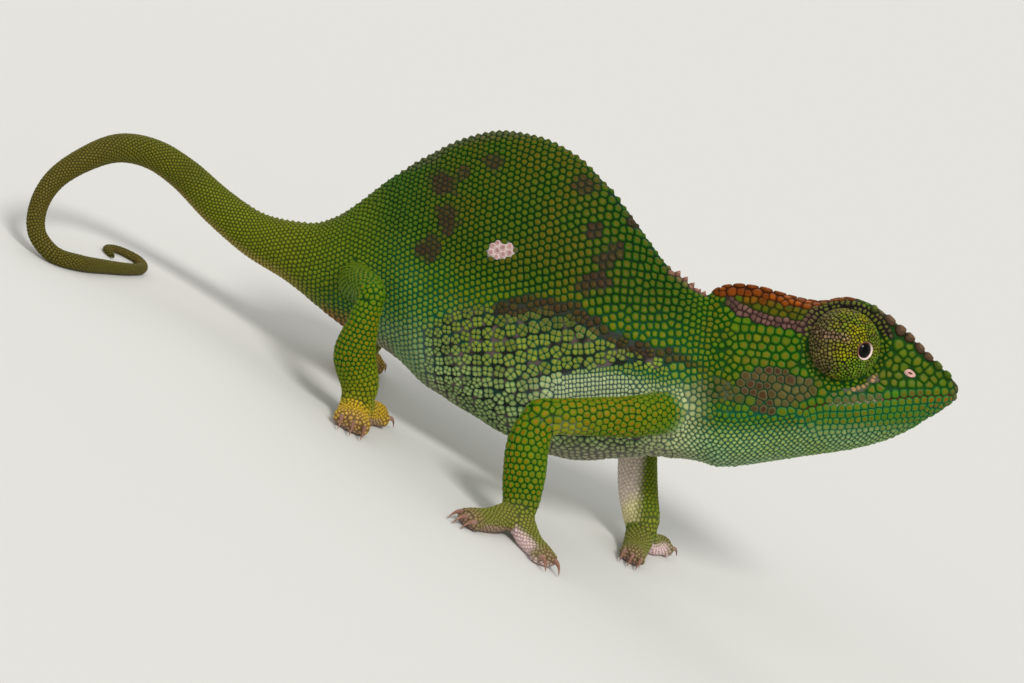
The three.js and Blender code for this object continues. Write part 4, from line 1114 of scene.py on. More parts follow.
def paint(pl):
    """Centre, rim and groove colours for each point."""
    p, a, b, lift = pl.p, pl.a, pl.b, pl.lift
    n_big, n_mid, n_small = noise(p, 9, 1), noise(p, 3.2, 2), noise(p, 1.1, 5)
    core = mix(rgb(122, 134, 14), rgb(144, 124, 12), ramp(n_mid + 0.5 * n_small, -0.5, 0.7))
    rim = mix(rgb(54, 118, 8), rgb(84, 124, 12), ramp(n_mid + 0.4 * n_small, -0.7, 0.7))
    groove = np.tile(rgb(24, 56, 16), (len(p), 1))
    # shoulder and neck are more saturated, the hump's rear is a softer green
    front = ramp(a, 8, 20)
    rim = mix(rim, rgb(42, 122, 10), front * 0.8)
    core = mix(core, rgb(116, 130, 12), front * 0.6)
    rear = ramp(-a, 6, 16)
    core = mix(core, rgb(116, 142, 30), rear * 0.7)
    rim = mix(rim, rgb(66, 128, 30), rear * 0.6)
    # low on the flank the skin turns teal and the granules mint
    line = interp(a, [-30, -20, -15, -10, -4, 4, 12, 20, 25, 28], [9.0, 12.0, 12.0, 9.2, 6.0, 4.2, 2.6, 0.4, 0.4, -0.4])
    low = ramp(line - b + 1.2 * n_mid, 0, 6.5)
    lower = ramp(line - b + 0.8 * n_mid, 5.5, 14.5)
    groove = mix(groove, rgb(30, 100, 74), ramp(line - b + 2.0 * n_mid, -6.0, 3.0) * 0.85)
    rim = mix(rim, rgb(76, 146, 66), low * 0.85)
    core = mix(core, rgb(148, 162, 52), low * 0.7)
    core = mix(core, rgb(188, 206, 130), lower)
    rim = mix(rim, rgb(140, 186, 134), lower)
    groove = mix(groove, rgb(118, 142, 130), lower * 0.8)
    # the back is darker than the flanks: partly the hide's deeper green, partly painted shade where the hump lies in
    # shade
    deep = (1 - ramp(line - b, -7.0, 1.0)) * 0.34
    core, rim, groove = core * (1 - 1.2 * deep[:, None]), rim * (1 - deep[:, None]), groove * (1 - 0.6 * deep[:, None])
    # the hips and the tail's root are yellower, with less contrast from scale to scale
    hip = ramp(-a, 17, 23) * ramp(b - line, -6.0, 0.0)
    core, rim, groove = mix(core, rgb(128, 140, 16), hip * 0.7), mix(rim, rgb(98, 128, 14), hip * 0.7), mix(groove, rgb(50, 80, 18), hip * 0.7)
    # black and lilac between the rosettes
    ros = rosette_weight(pl)
    pit = ros * ramp(n_small + 0.5 * n_mid, -0.6, 0.5)
    lilac = ramp(noise(p, 1.0, 9) + 0.5 * noise(p, 3.5, 10), 0.0, 0.6)
    teal = ramp(noise(p, 1.4, 21), 0.05, 0.5) * (1 - lilac)
    line_colour = mix(mix(rgb(40, 38, 32), rgb(130, 108, 108), lilac * 0.85), rgb(30, 86, 70), teal * 0.6)
    groove = mix(groove, line_colour, np.clip(ros * 0.95, 0, 1))
    core = mix(core, rgb(160, 164, 56), ros * 0.75 * (1 - lower))
    rim = mix(rim, rgb(104, 138, 74), ros * 0.65)
    core = mix(core, rgb(156, 142, 96), ros * 0.45 * ramp(noise(p, 3.4, 12), 0.0, 0.5) * (1 - lower))
    core = mix(core, rgb(98, 80, 54), ros * 0.6 * ramp(b - line + 3.2 + 1.5 * n_mid, 0.0, 2.5))
    # pale fold of the armpit
    pit_light = ramp(1 - np.hypot((a - 12.0) / 12, (b + 7.6) / 4.2), 0, 0.6) * (1 - pl.limb)
    core = mix(core, rgb(232, 240, 176), pit_light * 0.9)
    rim = mix(rim, rgb(190, 220, 174), pit_light * 0.85)
    groove = mix(groove, rgb(118, 122, 118), pit_light * 0.55)
    chest = ramp(a, 17, 22) * ramp(-b, 5, 9) * (1 - pl.limb)
    core, rim, groove = mix(core, rgb(236, 238, 176), chest * 0.78), mix(rim, rgb(198, 218, 160), chest * 0.78), mix(groove, rgb(128, 148, 120), chest * 0.55)
    # belly
    belly = ramp(-lift, 0.78, 0.98)
    core = mix(core, rgb(190, 186, 148), belly * 0.85)
    rim = mix(rim, rgb(150, 152, 126), belly * 0.8)
    mid = ramp(-lift, 0.93, 1.0)
    core = mix(core, rgb(214, 192, 172), mid * 0.6)
    groove = mix(groove, rgb(150, 122, 116), belly * 0.6)
    # the ridge of the back is dusky
    top = ramp(lift, 0.93, 1.0)
    core = mix(core, rgb(112, 110, 64), top * 0.75)
    rim = mix(rim, rgb(84, 92, 60), top * 0.75)
    # tail
    tail = ramp(pl.s, S_VENT - 2, S_VENT + 12)
    under = ramp(-lift, 0.45, 0.95)
    core = mix(core, mix(rgb(146, 150, 26), rgb(208, 184, 92), under), tail * 0.94)
    rim = mix(rim, mix(rgb(116, 130, 24), rgb(178, 158, 80), under), tail * 0.94)
    groove = mix(groove, mix(rgb(74, 82, 22), rgb(128, 110, 64), under), tail * 0.9)
    band = ramp(np.sin(pl.s * 0.42 + 1.2 * n_big), 0.2, 0.9) * tail * ramp(pl.s, S_VENT + 12, S_VENT + 30)
    core = mix(core, rgb(96, 82, 36), band * 0.4)
    core = mix(core, rgb(114, 100, 50), tail * ramp(lift, 0.7, 1.0) * 0.55)
    end = ramp(pl.s, AX.knots[16], AX.knots[22])
    core, rim, groove = mix(core, rgb(128, 106, 44), end * 0.75), mix(rim, rgb(104, 90, 38), end * 0.75), mix(groove, rgb(64, 52, 26), end * 0.7)
    vent = ramp(1 - np.abs(pl.s - S_VENT - 0.5) / 2.6, 0, 0.6) * ramp(-lift, 0.55, 0.95) * (1 - pl.limb)
    core, rim = mix(core, rgb(198, 128, 62), vent * 0.8), mix(rim, rgb(160, 92, 44), vent * 0.8)
    # brown marks
    br = brown_weight(pl)
    br = br * (0.82 + 0.18 * ramp(noise(p, 0.9, 41), -0.5, 0.2))
    core = mix(core, rgb(76, 50, 30), br * 0.94)
    rim = mix(rim, mix(rgb(64, 50, 38), rgb(62, 78, 36), ramp(noise(p, 1.3, 42), 0.0, 0.5) * 0.5), br * 0.92)
    groove = mix(groove, rgb(74, 60, 58), br * 0.7)
    # a small bare scar on the right flank
    scar = ramp(1.08 - np.hypot((a + 1.65) / 2.5, (b - 13.88) / 1.35) + 0.30 * n_small, 0.0, 0.22) * (~pl.left) * (pl.s < S_VENT)
    core, rim, groove = mix(core, rgb(196, 152, 146), scar), mix(rim, rgb(246, 214, 210), scar), mix(groove, rgb(255, 232, 228), scar)
    # head
    h = pl.head
    x, z, y = pl.hx, pl.hz, pl.hy
    hc = mix(rgb(102, 132, 8), rgb(124, 120, 12), ramp(n_mid + 0.6 * n_small, -0.5, 0.6))
    hr = mix(rgb(44, 114, 6), rgb(80, 110, 10), ramp(noise(p, 1.2, 44), -0.1, 0.7))
    forward = ramp(x, 23, 27) * ramp(z, -1.5, 0.5)
    hc, hr = mix(hc, rgb(108, 118, 22), forward * 0.5), mix(hr, rgb(72, 100, 14), forward * 0.6)
    hg = np.tile(rgb(24, 74, 14), (len(p), 1))
    lowf = ramp(-z, 2.0, 5.2) * ramp(x, -4, 3) + ramp(-z, 0.5, 2.5) * ramp(x, 16, 22) * 0.8
    lowf = np.clip(lowf, 0, 1)
    hg = mix(hg, rgb(18, 104, 78), lowf * 0.8)
    hr = mix(hr, rgb(70, 146, 66), lowf * 0.7)
    gular = ramp(-z, 5.4, 9.0)
    # fine pinkish creases over the jaw's corner and the side of the neck
    crease = ramp(noise(p, 1.9, 45) + 0.5 * noise(p, 0.9, 46), -0.05, 0.6) * ramp(10.5 - x + 1.2 * z, 0, 4) * ramp(-z, -3.0, 1.0)
    hg = mix(hg, rgb(150, 140, 128), crease * 0.45)
    hc = mix(hc, mix(rgb(190, 208, 104), rgb(184, 214, 148), ramp(n_mid, -0.4, 0.6)), gular)
    hr = mix(hr, rgb(132, 178, 120), gular)
    hg = mix(hg, rgb(52, 118, 92), gular)
    gm = ramp(-z, 10.0, 12.4)
    hc, hr = mix(hc, rgb(190, 204, 164), gm * 0.7), mix(hr, rgb(134, 168, 138), gm * 0.6)
    # painted shade: the sides of the lower jaw ahead of its corner are made 10% darker
    under_jaw_painted_shade = gular * (1 - gm) * ramp(x, 8, 14) * 0.1
    hc, hr = hc * (1 - under_jaw_painted_shade[:, None]), hr * (1 - under_jaw_painted_shade[:, None])
    # brown cheek
    wob = 0.22 * noise(p, 2.0, 6)
    cheek = ramp(1.15 - np.hypot((x - 11.0) / 5.4, (z + 0.85 + 0.12 * (x - 11)) / 2.9) + wob, 0.0, 0.3)
    cheek = np.maximum(cheek, ramp(1.1 - np.hypot((x - 9.8) / 2.6, (z + 3.4) / 1.6) + wob, 0.0, 0.3))
    mottled = ramp(noise(p, 1.5, 14), -0.75, 0.1)
    hc = mix(hc, mix(rgb(112, 104, 54), rgb(84, 48, 32), mottled), cheek * 0.92)
    hr = mix(hr, mix(rgb(108, 98, 62), rgb(112, 88, 64), mottled), cheek * 0.78)
    hg = mix(hg, rgb(20, 82, 68), cheek * 0.5)
    tail_mark = ramp(1.1 - np.hypot((x - 1.0) / 6.0, (z + 1.6) / 1.7) + 1.4 * wob, 0.0, 0.35)
    hc, hr = mix(hc, rgb(104, 74, 50), tail_mark * 0.7), mix(hr, rgb(96, 92, 66), tail_mark * 0.6)
    # casque: orange crest over olive plates, with a dusky pink edge
    roof_line = interp(x, [1, 4, 8, 12, 15, 17, 19, 23], [13.0, 12.3, 11.8, 11.2, 10.5, 10.8, 11.6, 11.9])
    roof_line = np.where(x > 16.5, np.minimum(roof_line, 11.35), roof_line)
    orange = ramp(z - roof_line + 0.35 * n_small, -0.25, 0.5) * ramp(x, 0.8, 2.6) * (1 - ramp(x, 22.4, 24.2))
    roof = ramp(z - interp(x, [2, 4, 6, 8, 12, 16, 18], [13, 12.4, 10.9, 10.2, 9.1, 9.0, 9.4]), -0.1, 0.6) * ramp(x, 2.4, 4.4) * (1 - ramp(x, 23, 25))
    hc, hr, hg = mix(hc, mix(rgb(106, 98, 6), rgb(74, 110, 8), ramp(noise(p, 2.4, 8), -0.2, 0.4)), roof), mix(hr, rgb(66, 80, 6), roof), mix(hg, rgb(52, 60, 10), roof)
    hc = mix(hc, mix(rgb(182, 90, 0), rgb(128, 58, 0), ramp(n_small, -0.4, 0.5)), orange)
    hr, hg = mix(hr, rgb(128, 62, 0), orange), mix(hg, rgb(66, 30, 6), orange)
    d_crest, _ = line_distance(x, z, CREST_LINE)
    arc = np.abs(np.hypot(x - EYE_CENTRE[0], (z - EYE_CENTRE[2]) * 1.12) - 6.55)
    arc = np.where((z > EYE_CENTRE[2] + 1.2) & (x > 14.5) & (np.abs(y) > 2.9), arc, 9.0)
    crest = np.maximum(ramp(1.0 - (d_crest + 0.12 * n_small) / 0.98, 0.0, 0.25), ramp(1.0 - arc / 1.0, 0, 0.35)) * ramp(x, 3, 4.5)
    dark = ramp(x, 14, 18)
    hc, hr = mix(hc, mix(mix(rgb(138, 102, 90), rgb(98, 70, 62), ramp(noise(p, 0.9, 47), -0.3, 0.4)), rgb(84, 66, 56), dark), crest), mix(hr, mix(rgb(106, 76, 68), rgb(60, 50, 42), dark), crest)
    hg = mix(hg, mix(rgb(66, 44, 42), rgb(34, 28, 24), dark), crest)
    # snout
    knob = ramp(z - interp(x, [22, 26, 30, 34, 38], [11.6, 9.6, 6.4, 1.9, -0.9]), -0.3, 0.5) * ramp(x, 24, 26)
    hc, hr = mix(hc, mix(rgb(92, 122, 14), rgb(124, 84, 70), ramp(noise(p, 1.7, 48), -0.35, 0.35)), knob * 0.85), mix(hr, mix(rgb(72, 96, 18), rgb(98, 64, 58), ramp(noise(p, 1.7, 48), -0.35, 0.35)), knob * 0.85)
    lip = ramp(1 - np.abs(z - interp(x, MOUTH[:, 0], MOUTH[:, 1]) - 0.7) / 0.95, 0, 0.4) * ramp(x, 14, 16)
    grey_lip = ramp(x, 18.2, 19.6) * (1 - ramp(x, 26.8, 27.6))
    rust_lip = ramp(x, 29.6, 30.4) * (1 - ramp(x, 33.0, 34.0))
    hc = mix(hc, mix(rgb(132, 120, 76), rgb(108, 102, 66), ramp(n_small, -0.3, 0.3)), lip * grey_lip * 0.85)
    hr = mix(hr, rgb(92, 116, 60), lip * grey_lip * 0.6)
    hc = mix(hc, rgb(118, 92, 44), lip * rust_lip * 0.7)
    hc = mix(hc, rgb(84, 150, 24), lip * ramp(x, 27.2, 27.9) * (1 - ramp(x, 29.2, 29.9)) * 0.8)
    pink = ramp(1 - np.hypot((x - 23.2) / 3.0, (z + 1.15 - 0.12 * (x - 23.2)) / 0.72) + 0.6 * n_small, 0.1, 0.45)
    pink = np.maximum(pink, ramp(1 - np.hypot((x - 25.6) / 1.25, (z - 0.35) / 0.8) + 0.25 * n_small, 0.05, 0.35))
    hc, hr = mix(hc, mix(rgb(255, 184, 140), rgb(255, 206, 194), ramp(n_small, -0.3, 0.3)) * 1.15, pink * 0.95), mix(hr, rgb(222, 168, 140), pink * 0.85)
    hg = mix(hg, rgb(150, 128, 116), pink * 0.6)
    chin = ramp(1 - np.hypot((x - 36.0) / 3.4, (z + 3.1) / 1.2) + 0.35 * n_small, 0.1, 0.6)
    hc = mix(hc, rgb(164, 96, 14), chin * 0.7)
    tip = ramp(x, 36.8, 38.2)
    hc, hr = mix(hc, rgb(104, 84, 70), tip * 0.6), mix(hr, rgb(86, 66, 58), tip * 0.6)
    r, _ = eye_polar(pl)
    ring = 1 - ramp(r, 6.3, 7.4)
    hc = mix(hc, mix(rgb(120, 136, 18), rgb(110, 90, 60), ramp(noise(p, 2.2, 17), 0.1, 0.7)), ring * 0.7)
    d_mouth, _ = line_distance(x, z, MOUTH)
    slit = (1 - ramp(d_mouth, 0.2, 0.5)) * (x > 14)
    hg = mix(hg, mix(rgb(112, 44, 24), rgb(206, 190, 160), ramp(x, 18, 20) * (1 - ramp(x, 25.5, 27.5)) * 0.8), slit)
    core, rim, groove = mix(core, hc, h), mix(rim, hr, h), mix(groove, hg, h)
    # pinkish spines in the notch behind the casque
    notch = ramp(1.25 - np.abs(y) / 1.1, 0, 0.5) * ramp(x, -5.2, -4.0) * (1 - ramp(x, 0.9, 1.7)) * (z > 10.0)
    core, rim, groove = mix(core, rgb(196, 138, 124), notch * 0.85), mix(rim, rgb(150, 98, 90), notch * 0.85), mix(groove, rgb(96, 62, 60), notch * 0.7)
    # limbs
    lc = mix(rgb(156, 130, 12), rgb(128, 138, 14), ramp(n_mid + 0.5 * n_small, -0.4, 0.5))
    lr = mix(rgb(82, 138, 10), rgb(108, 142, 14), ramp(n_big, -0.4, 0.5))
    lg = np.tile(rgb(36, 72, 22), (len(p), 1))
    normal_y = (p - samples_centre(pl))
    inner = np.where(pl.left_limb, -normal_y[:, 1], normal_y[:, 1])
    inward = ramp(inner, 0.2, 2.3)
    arm = loft_is(pl, "arm")
    rear_arm = ramp(-normal_y[:, 0] * 0.6 + inner * 0.5, 0.4, 2.0)
    pale = inward * 0.7 * (1 - loft_is(pl, "arm", ("lower",)))
    lc, lr, lg = mix(lc, rgb(214, 202, 176), pale * 0.8), mix(lr, rgb(190, 184, 154), pale * 0.8), mix(lg, rgb(160, 140, 126), pale * 0.8)
    # creases where the upper arm folds at the elbow
    bend = loft_is(pl, "arm", ("upper",)) * ramp(pl.along, 0.58, 0.78) * (1 - ramp(pl.along, 0.92, 1.0)) * ramp(-normal_y[:, 2] + 0.3 * n_small, -0.4, 1.6)
    lg = mix(lg, rgb(206, 184, 176), bend * 0.75)
    lc, lr = mix(lc, rgb(176, 174, 30), bend * 0.6), mix(lr, rgb(170, 176, 60), bend * 0.5)
    soft_arm = loft_is(pl, "arm", ("lower",)) * pl.left_limb * 0.6
    lc, lr, lg = mix(lc, rgb(164, 166, 44), soft_arm), mix(lr, rgb(136, 158, 44), soft_arm), mix(lg, rgb(104, 124, 50), soft_arm)
    # smooth pale skin down the inner rear of the forearm, darker and greyer at its upper end under the belly: painted
    # shade
    bare = loft_is(pl, "arm", ("lower",)) * ramp(0.5 - normal_y[:, 0], -0.5, 1.1) * np.where(pl.left_limb, ramp(inner, -1.7, 1.0), ramp(inner, 0.6, 1.8)) * ramp(pl.along, 0.04, 0.16) * (1 - ramp(pl.along, 0.86, 0.98))
    bare_skin_and_painted_shade = mix(mix(rgb(206, 176, 186), rgb(255, 236, 224), ramp(pl.along, 0.05, 0.35)), rgb(250, 238, 182), ramp(pl.along + 0.12 * n_mid, 0.5, 0.8)) / TONE * 0.86
    lc, lr, lg = mix(lc, bare_skin_and_painted_shade, bare * 0.95), mix(lr, bare_skin_and_painted_shade * 0.93, bare * 0.95), mix(lg, bare_skin_and_painted_shade * 0.78, bare * 0.95)
    toes = loft_is(pl, None, TOES).astype(float) * ramp(pl.along, 0.05, 0.35)
    toes = np.maximum(toes, loft_is(pl, None, ("lower",)) * ramp(pl.along + 0.05 * n_mid, np.where(loft_is(pl, "leg"), 0.55, 0.72), np.where(loft_is(pl, "leg"), 0.95, 1.0)) * 0.85)
    hind = loft_is(pl, "leg")
    gold = (ramp(pl.along + 0.25 * n_small, 0.15, 0.6) * loft_is(pl, None, TOES))[:, None]
    fc = np.where(hind[:, None], rgb(176, 164, 32) * (1 - gold) + rgb(255, 210, 52) * gold, rgb(166, 164, 66))
    fr = np.where(hind[:, None], rgb(140, 156, 24) * (1 - gold) + rgb(216, 180, 54) * gold, rgb(136, 142, 64))
    fg = np.where(hind[:, None], rgb(96, 96, 30) * (1 - gold) + rgb(140, 114, 50) * gold, rgb(110, 106, 58))
    lc, lr, lg = mix(lc, fc, toes), mix(lr, fr, toes), mix(lg, fg, toes)
    on_toes = loft_is(pl, None, TOES)
    ends = on_toes * ramp(pl.along, np.where(hind, 0.84, 0.76), 1.02)
    lc, lr, lg = mix(lc, rgb(190, 146, 122), ends * 0.6), mix(lr, rgb(166, 124, 106), ends * 0.6), mix(lg, rgb(130, 98, 84), ends * 0.55)
    claw_bed = on_toes * ~hind * ramp(pl.along, 0.92, 1.06)
    lc, lr = mix(lc, rgb(224, 184, 176), claw_bed * 0.6), mix(lr, rgb(206, 164, 158), claw_bed * 0.6)
    # the soles and the web between the two bundles of toes are bare pink
    sole = (1 - ramp(p[:, 2], 0.4, 1.3)) * on_toes
    outer_toes = loft_is(pl, None, ("outer",))
    web = on_toes * ramp(pl.fork, 0.25, 0.7) * (1 - ramp(p[:, 2], np.where(outer_toes, 1.7, 1.1), np.where(outer_toes, 2.7, 2.0))) * (1 - ramp(pl.along, 0.75, 0.95))
    web = np.maximum(web, on_toes * (1 - ramp(pl.along, 0.06, 0.24)) * ramp(pl.fork, 0.1, 0.5) * (1 - ramp(p[:, 2], 2.2, 3.2)))
    sole = np.maximum(sole * 0.8, web * np.where(outer_toes, 1.0, 0.8))
    bare_pink = mix(rgb(196, 158, 148), rgb(255, 222, 222) * 1.35, (outer_toes & ~hind) * 1.0)
    lc, lr, lg = mix(lc, bare_pink, sole * 0.92), mix(lr, bare_pink * 0.86, sole * 0.92), mix(lg, bare_pink * 0.62, sole * 0.88)
    w = pl.limb * (1 - 0.85 * loft_is(pl, "leg", ("upper",)) * (1 - ramp(pl.along, 0.55, 0.95)))
    w = w * (1 - 0.9 * loft_is(pl, "arm", ("upper",)) * (1 - ramp(pl.along + 0.06 * n_small, 0.02, 0.26)))
    core, rim, groove = mix(core, lc, w), mix(rim, lr, w), mix(groove, lg, w)
    return core * TONE, rim * TONE, groove * TONE


def samples_centre(pl):
    """The middle of the nearest limb, and which side it is on."""
    out = pl.p.copy()
    pl.left_limb = np.zeros(len(pl.p), bool)
    pl.fork = np.zeros(len(pl.p))  # how far towards the other bundle of toes, in half widths
    for k, (leg_name, part) in LOFTS.items():
        if k < 2:
            continue
        m = pl.loft == k
        if not m.any():
            continue
        rows, across = limb_soup[leg_name, part]
        kn = chord_knots(rows)
        out[m] = hermite(rows, kn, stations(kn, np.clip(pl.along[m], 0, 1) * kn[-1]))[:, :3]
        pl.left_limb |= m & ("left" in leg_name)
        if part in TOES:
            leg = LEGS[leg_name]
            palm = np.array(leg["palm"][:2])
            own, other = (unit(np.array(leg[w]["end"]) - palm) for w in (part, TOES[1 - TOES.index(part)]))
            to_other = unit(other - own * (other @ own))
            pl.fork[m] = (pl.p[m, :2] - out[m, :2]) @ to_other / leg[part]["wide"]
    return out


# ------------------------------------------------------------------ the unwrap that the coat's patches sit on
ATLAS = {0: (0.01, 0.01, 0.60, 0.98), 1: (0.63, 0.56, 0.36, 0.43)}
_k = 0
for key in LOFTS:
    if key > 1:
        col, row = _k % 4, _k // 4
        ATLAS[key] = (0.63 + 0.09 * col, 0.01 + 0.135 * row, 0.082, 0.125)
        _k += 1


def atlas_uv(pl):
    uv = np.zeros((len(pl.p), 2))
    for key, (x, y, w, h) in ATLAS.items():
        m = pl.loft == key
        if key == 0:
            u = pl.s[m] / AX.length
        elif key == 1:
            u = (pl.along[m] + 5) / 43.3
        else:
            u = pl.along[m]
        uv[m, 0] = x + w * np.clip(u, 0, 1)
        uv[m, 1] = y + h * (pl.angle[m] / (2 * np.pi))
    return uv


# ------------------------------------------------------------------ scales as small closed shields
HEIGHT = {GRANULE: 0.22, SUB: 0.24, PLATE: 0.15, KNOB: 0.42, CONE: 0.34, BEAD: 0.42, TUBERCLE: 0.30, SPINE_KIND: 0.75, SHINGLE: 0.18}
RISE = {GRANULE: (0.46, 0.80, 0.97), SUB: (0.48, 0.82, 0.97), PLATE: (0.62, 0.90, 0.99), KNOB: (0.50, 0.86, 0.98), CONE: (0.16, 0.42, 0.76), BEAD: (0.42, 0.78, 0.97), TUBERCLE: (0.46, 0.80, 0.96), SPINE_KIND: (0.12, 0.36, 0.72), SHINGLE: (0.56, 0.86, 0.98)}
ROUND = {GRANULE: 11.0, SUB: 13.0, PLATE: 18.0, KNOB: 10.0, CONE: 8.0, BEAD: 10.0, TUBERCLE: 13.0, SPINE_KIND: 8.0, SHINGLE: 15.0}
CAP = {GRANULE: 0.66, SUB: 0.80, PLATE: 0.74, KNOB: 0.62, CONE: 0.62, BEAD: 0.72, TUBERCLE: 0.74, SPINE_KIND: 0.6, SHINGLE: 0.74}


def cells(points, normals, size, kind, cluster, directions, pool_tree, pool):
    """The outline of each scale: how far it reaches in each direction before it meets its neighbours."""
    n = len(points)
    m = 9
    nb = np.zeros((n, m), int)
    for i, p in enumerate(points):
        found = pool_tree.find_n(p, m + 1)
        ids = [j for _, j, d in found if d > 1e-5][:m]
        nb[i, : len(ids)] = ids
        nb[i, len(ids):] = ids[-1]
    ref = np.where(np.abs(normals[:, 2:3]) < 0.9, [[0, 0, 1.0]], [[1.0, 0, 0]])
    t1 = unit(np.cross(ref, normals))
    t2 = np.cross(normals, t1)
    delta = pool["p"][nb] - points[:, None]
    x, y = np.einsum("imk,ik->im", delta, t1), np.einsum("imk,ik->im", delta, t2)
    d = np.hypot(x, y) + 1e-9
    other = pool["size"][nb]
    share = size[:, None] / (size[:, None] + other)
    share = 0.5 + (share - 0.5) * 0.9
    gap = 0.02 + 0.055 * np.minimum(size[:, None], other)
    apart = (kind[:, None] == SUB) & (pool["cluster"][nb] != cluster[:, None])
    same = (kind[:, None] == SUB) & ~apart
    gap = np.where(apart, 0.10, np.where(same, 0.0, gap))
    gap = np.where(((kind == PLATE) | (kind == SHINGLE))[:, None], 0.045, np.where((kind == TUBERCLE)[:, None], 0.015, gap))
    reach = np.maximum(d * share - gap / 2, 0.06)
    phi = 2 * np.pi * np.arange(directions) / directions
    cosd = (x[:, :, None] * np.cos(phi) + y[:, :, None] * np.sin(phi)) / d[:, :, None]
    r = np.where(cosd > 0.05, reach[:, :, None] / np.maximum(cosd, 0.05), 99.0)
    cap = (np.array([CAP[v] for v in range(9)])[kind] * size)[:, None]
    power = np.array([ROUND[v] for v in range(9)])[kind][:, None]
    seam = np.take_along_axis(np.repeat(same[:, :, None], directions, 2), r.argmin(1)[:, None], 1)[:, 0]
    # granules of one cluster share its round outline
    member = (kind == SUB) & (cluster >= 0)
    away = np.where(member[:, None], points - centres[np.where(member, cluster, 0)], 0.0)
    ox, oy = np.einsum("ij,ij->i", away, t1), np.einsum("ij,ij->i", away, t2)
    radius = np.where(member, widths[np.where(member, cluster, 0)] * 0.505, 0.0)
    along = -(ox[:, None] * np.cos(phi) + oy[:, None] * np.sin(phi))
    circle = along + np.sqrt(np.maximum(along**2 - (ox**2 + oy**2)[:, None] + (radius**2)[:, None], 1e-4))
    circle = np.where(member[:, None], np.maximum(circle, 0.05), 99.0)
    r = np.concatenate([np.minimum(r, 99.0), np.repeat(cap[:, :, None], directions, 2), circle[:, None]], 1)
    soft = np.sum(r ** -power[:, :, None], axis=1) ** (-1 / power)
    return soft, t1, t2, phi, seam


class Coat:
    """Scales gathered for one mesh."""

    def __init__(self):
        self.v, self.f, self.core, self.rim, self.rad, self.uv, self.n = [], [], [], [], [], [], 0

    def add(self, points, normals, outline, t1, t2, phi, height, rise, fractions, core, rim, uv, sink, lean=None, floor=0.0, seam=None):
        count, k = outline.shape
        if not count:
            return
        cos, sin = np.cos(phi), np.sin(phi)
        ring_dir = t1[:, None] * cos[None, :, None] + t2[:, None] * sin[None, :, None]
        edge = points[:, None] + ring_dir * outline[:, :, None]
        low = np.zeros((count, k))
        for i in range(count):
            n = Vector(normals[i])
            for j in range(k):
                hit = skin_bvh.find_nearest(edge[i, j])[0]
                low[i, j] = (hit - Vector(points[i])).dot(n)
        low = np.clip(low, -outline * 0.9, outline * 0.5)
        seam = np.zeros((count, k)) if seam is None else seam * 1.0
        base = low - sink[:, None] * (1 - seam) + (0.22 * height)[:, None] * seam
        rings = [points[:, None] + ring_dir * outline[:, :, None] + normals[:, None] * base[:, :, None]]
        for i, (f, g) in enumerate(zip(fractions, rise.T)):
            up = (height * g)[:, None] * (1 + (0.35 * seam if i == 0 else 0.0)) + low * f * f
            rings.append(points[:, None] + ring_dir * (outline * f)[:, :, None] + normals[:, None] * up[:, :, None])
        top = points + normals * height[:, None]
        body = np.concatenate([r.reshape(count, -1, 3) for r in rings] + [top[:, None]], 1)
        if lean is not None:
            body += lean[:, None] * np.einsum("ijk,ik->ij", body - points[:, None], normals)[:, :, None]
        body[:, :, 2] = np.maximum(body[:, :, 2], floor)
        nr = len(rings)
        per = nr * k + 1
        tri = []
        for a in range(nr - 1):
            for j in range(k):
                j2 = (j + 1) % k
                p0, p1, q0, q1 = a * k + j, a * k + j2, (a + 1) * k + j, (a + 1) * k + j2
                tri += [(p0, p1, q1), (p0, q1, q0)]
        for j in range(k):
            tri.append(((nr - 1) * k + j, (nr - 1) * k + (j + 1) % k, nr * k))
        for j in range(1, k - 1):
            tri.append((0, j + 1, j))
        tri = np.array(tri)
        self.f.append((tri[None] + (np.arange(count) * per)[:, None, None]).reshape(-1, 3) + self.n)
        self.v.append(body.reshape(-1, 3))
        self.n += count * per
        self.core.append(np.repeat(core, per, axis=0))
        self.rim.append(np.repeat(rim, per, axis=0))
        rad = np.tile(np.concatenate([np.full(k, 1.1)] + [np.full(k, f) for f in fractions] + [[0.0]]), (count, 1))
        # the painted shade at each scale's foot is left out where granules of one cluster meet
        rad[:, :k] -= 0.30 * seam  # no dark edge between granules of one cluster
        rad[:, k:2 * k] -= 0.20 * seam
        self.rad.append(rad.ravel())
        around = np.concatenate([np.tile(np.stack([cos, sin], 1) * f * 0.0015, (1, 1)) for f in (1.0, *fractions)] + [np.zeros((1, 2))])
        self.uv.append((uv[:, None] + around[None]).reshape(-1, 2))

    def triangles(self):
        return sum(len(f) for f in self.f)

    def build(self, name):
        verts, tris = np.concatenate(self.v), np.concatenate(self.f)
        ob = new_mesh(name, verts, tris=tris)
        me = ob.data
        add_colour(me, "core", np.concatenate(self.core))
        add_colour(me, "rim", np.concatenate(self.rim))
        add_float(me, "rad", np.concatenate(self.rad))
        uv = np.concatenate(self.uv)
        layer = me.uv_layers.new(name="OFBake")
        loop = np.zeros(len(me.loops), np.int32)
        me.loops.foreach_get("vertex_index", loop)
        layer.data.foreach_set("uv", uv[loop].astype(np.float32).ravel())
        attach(ob, "root")
        return ob


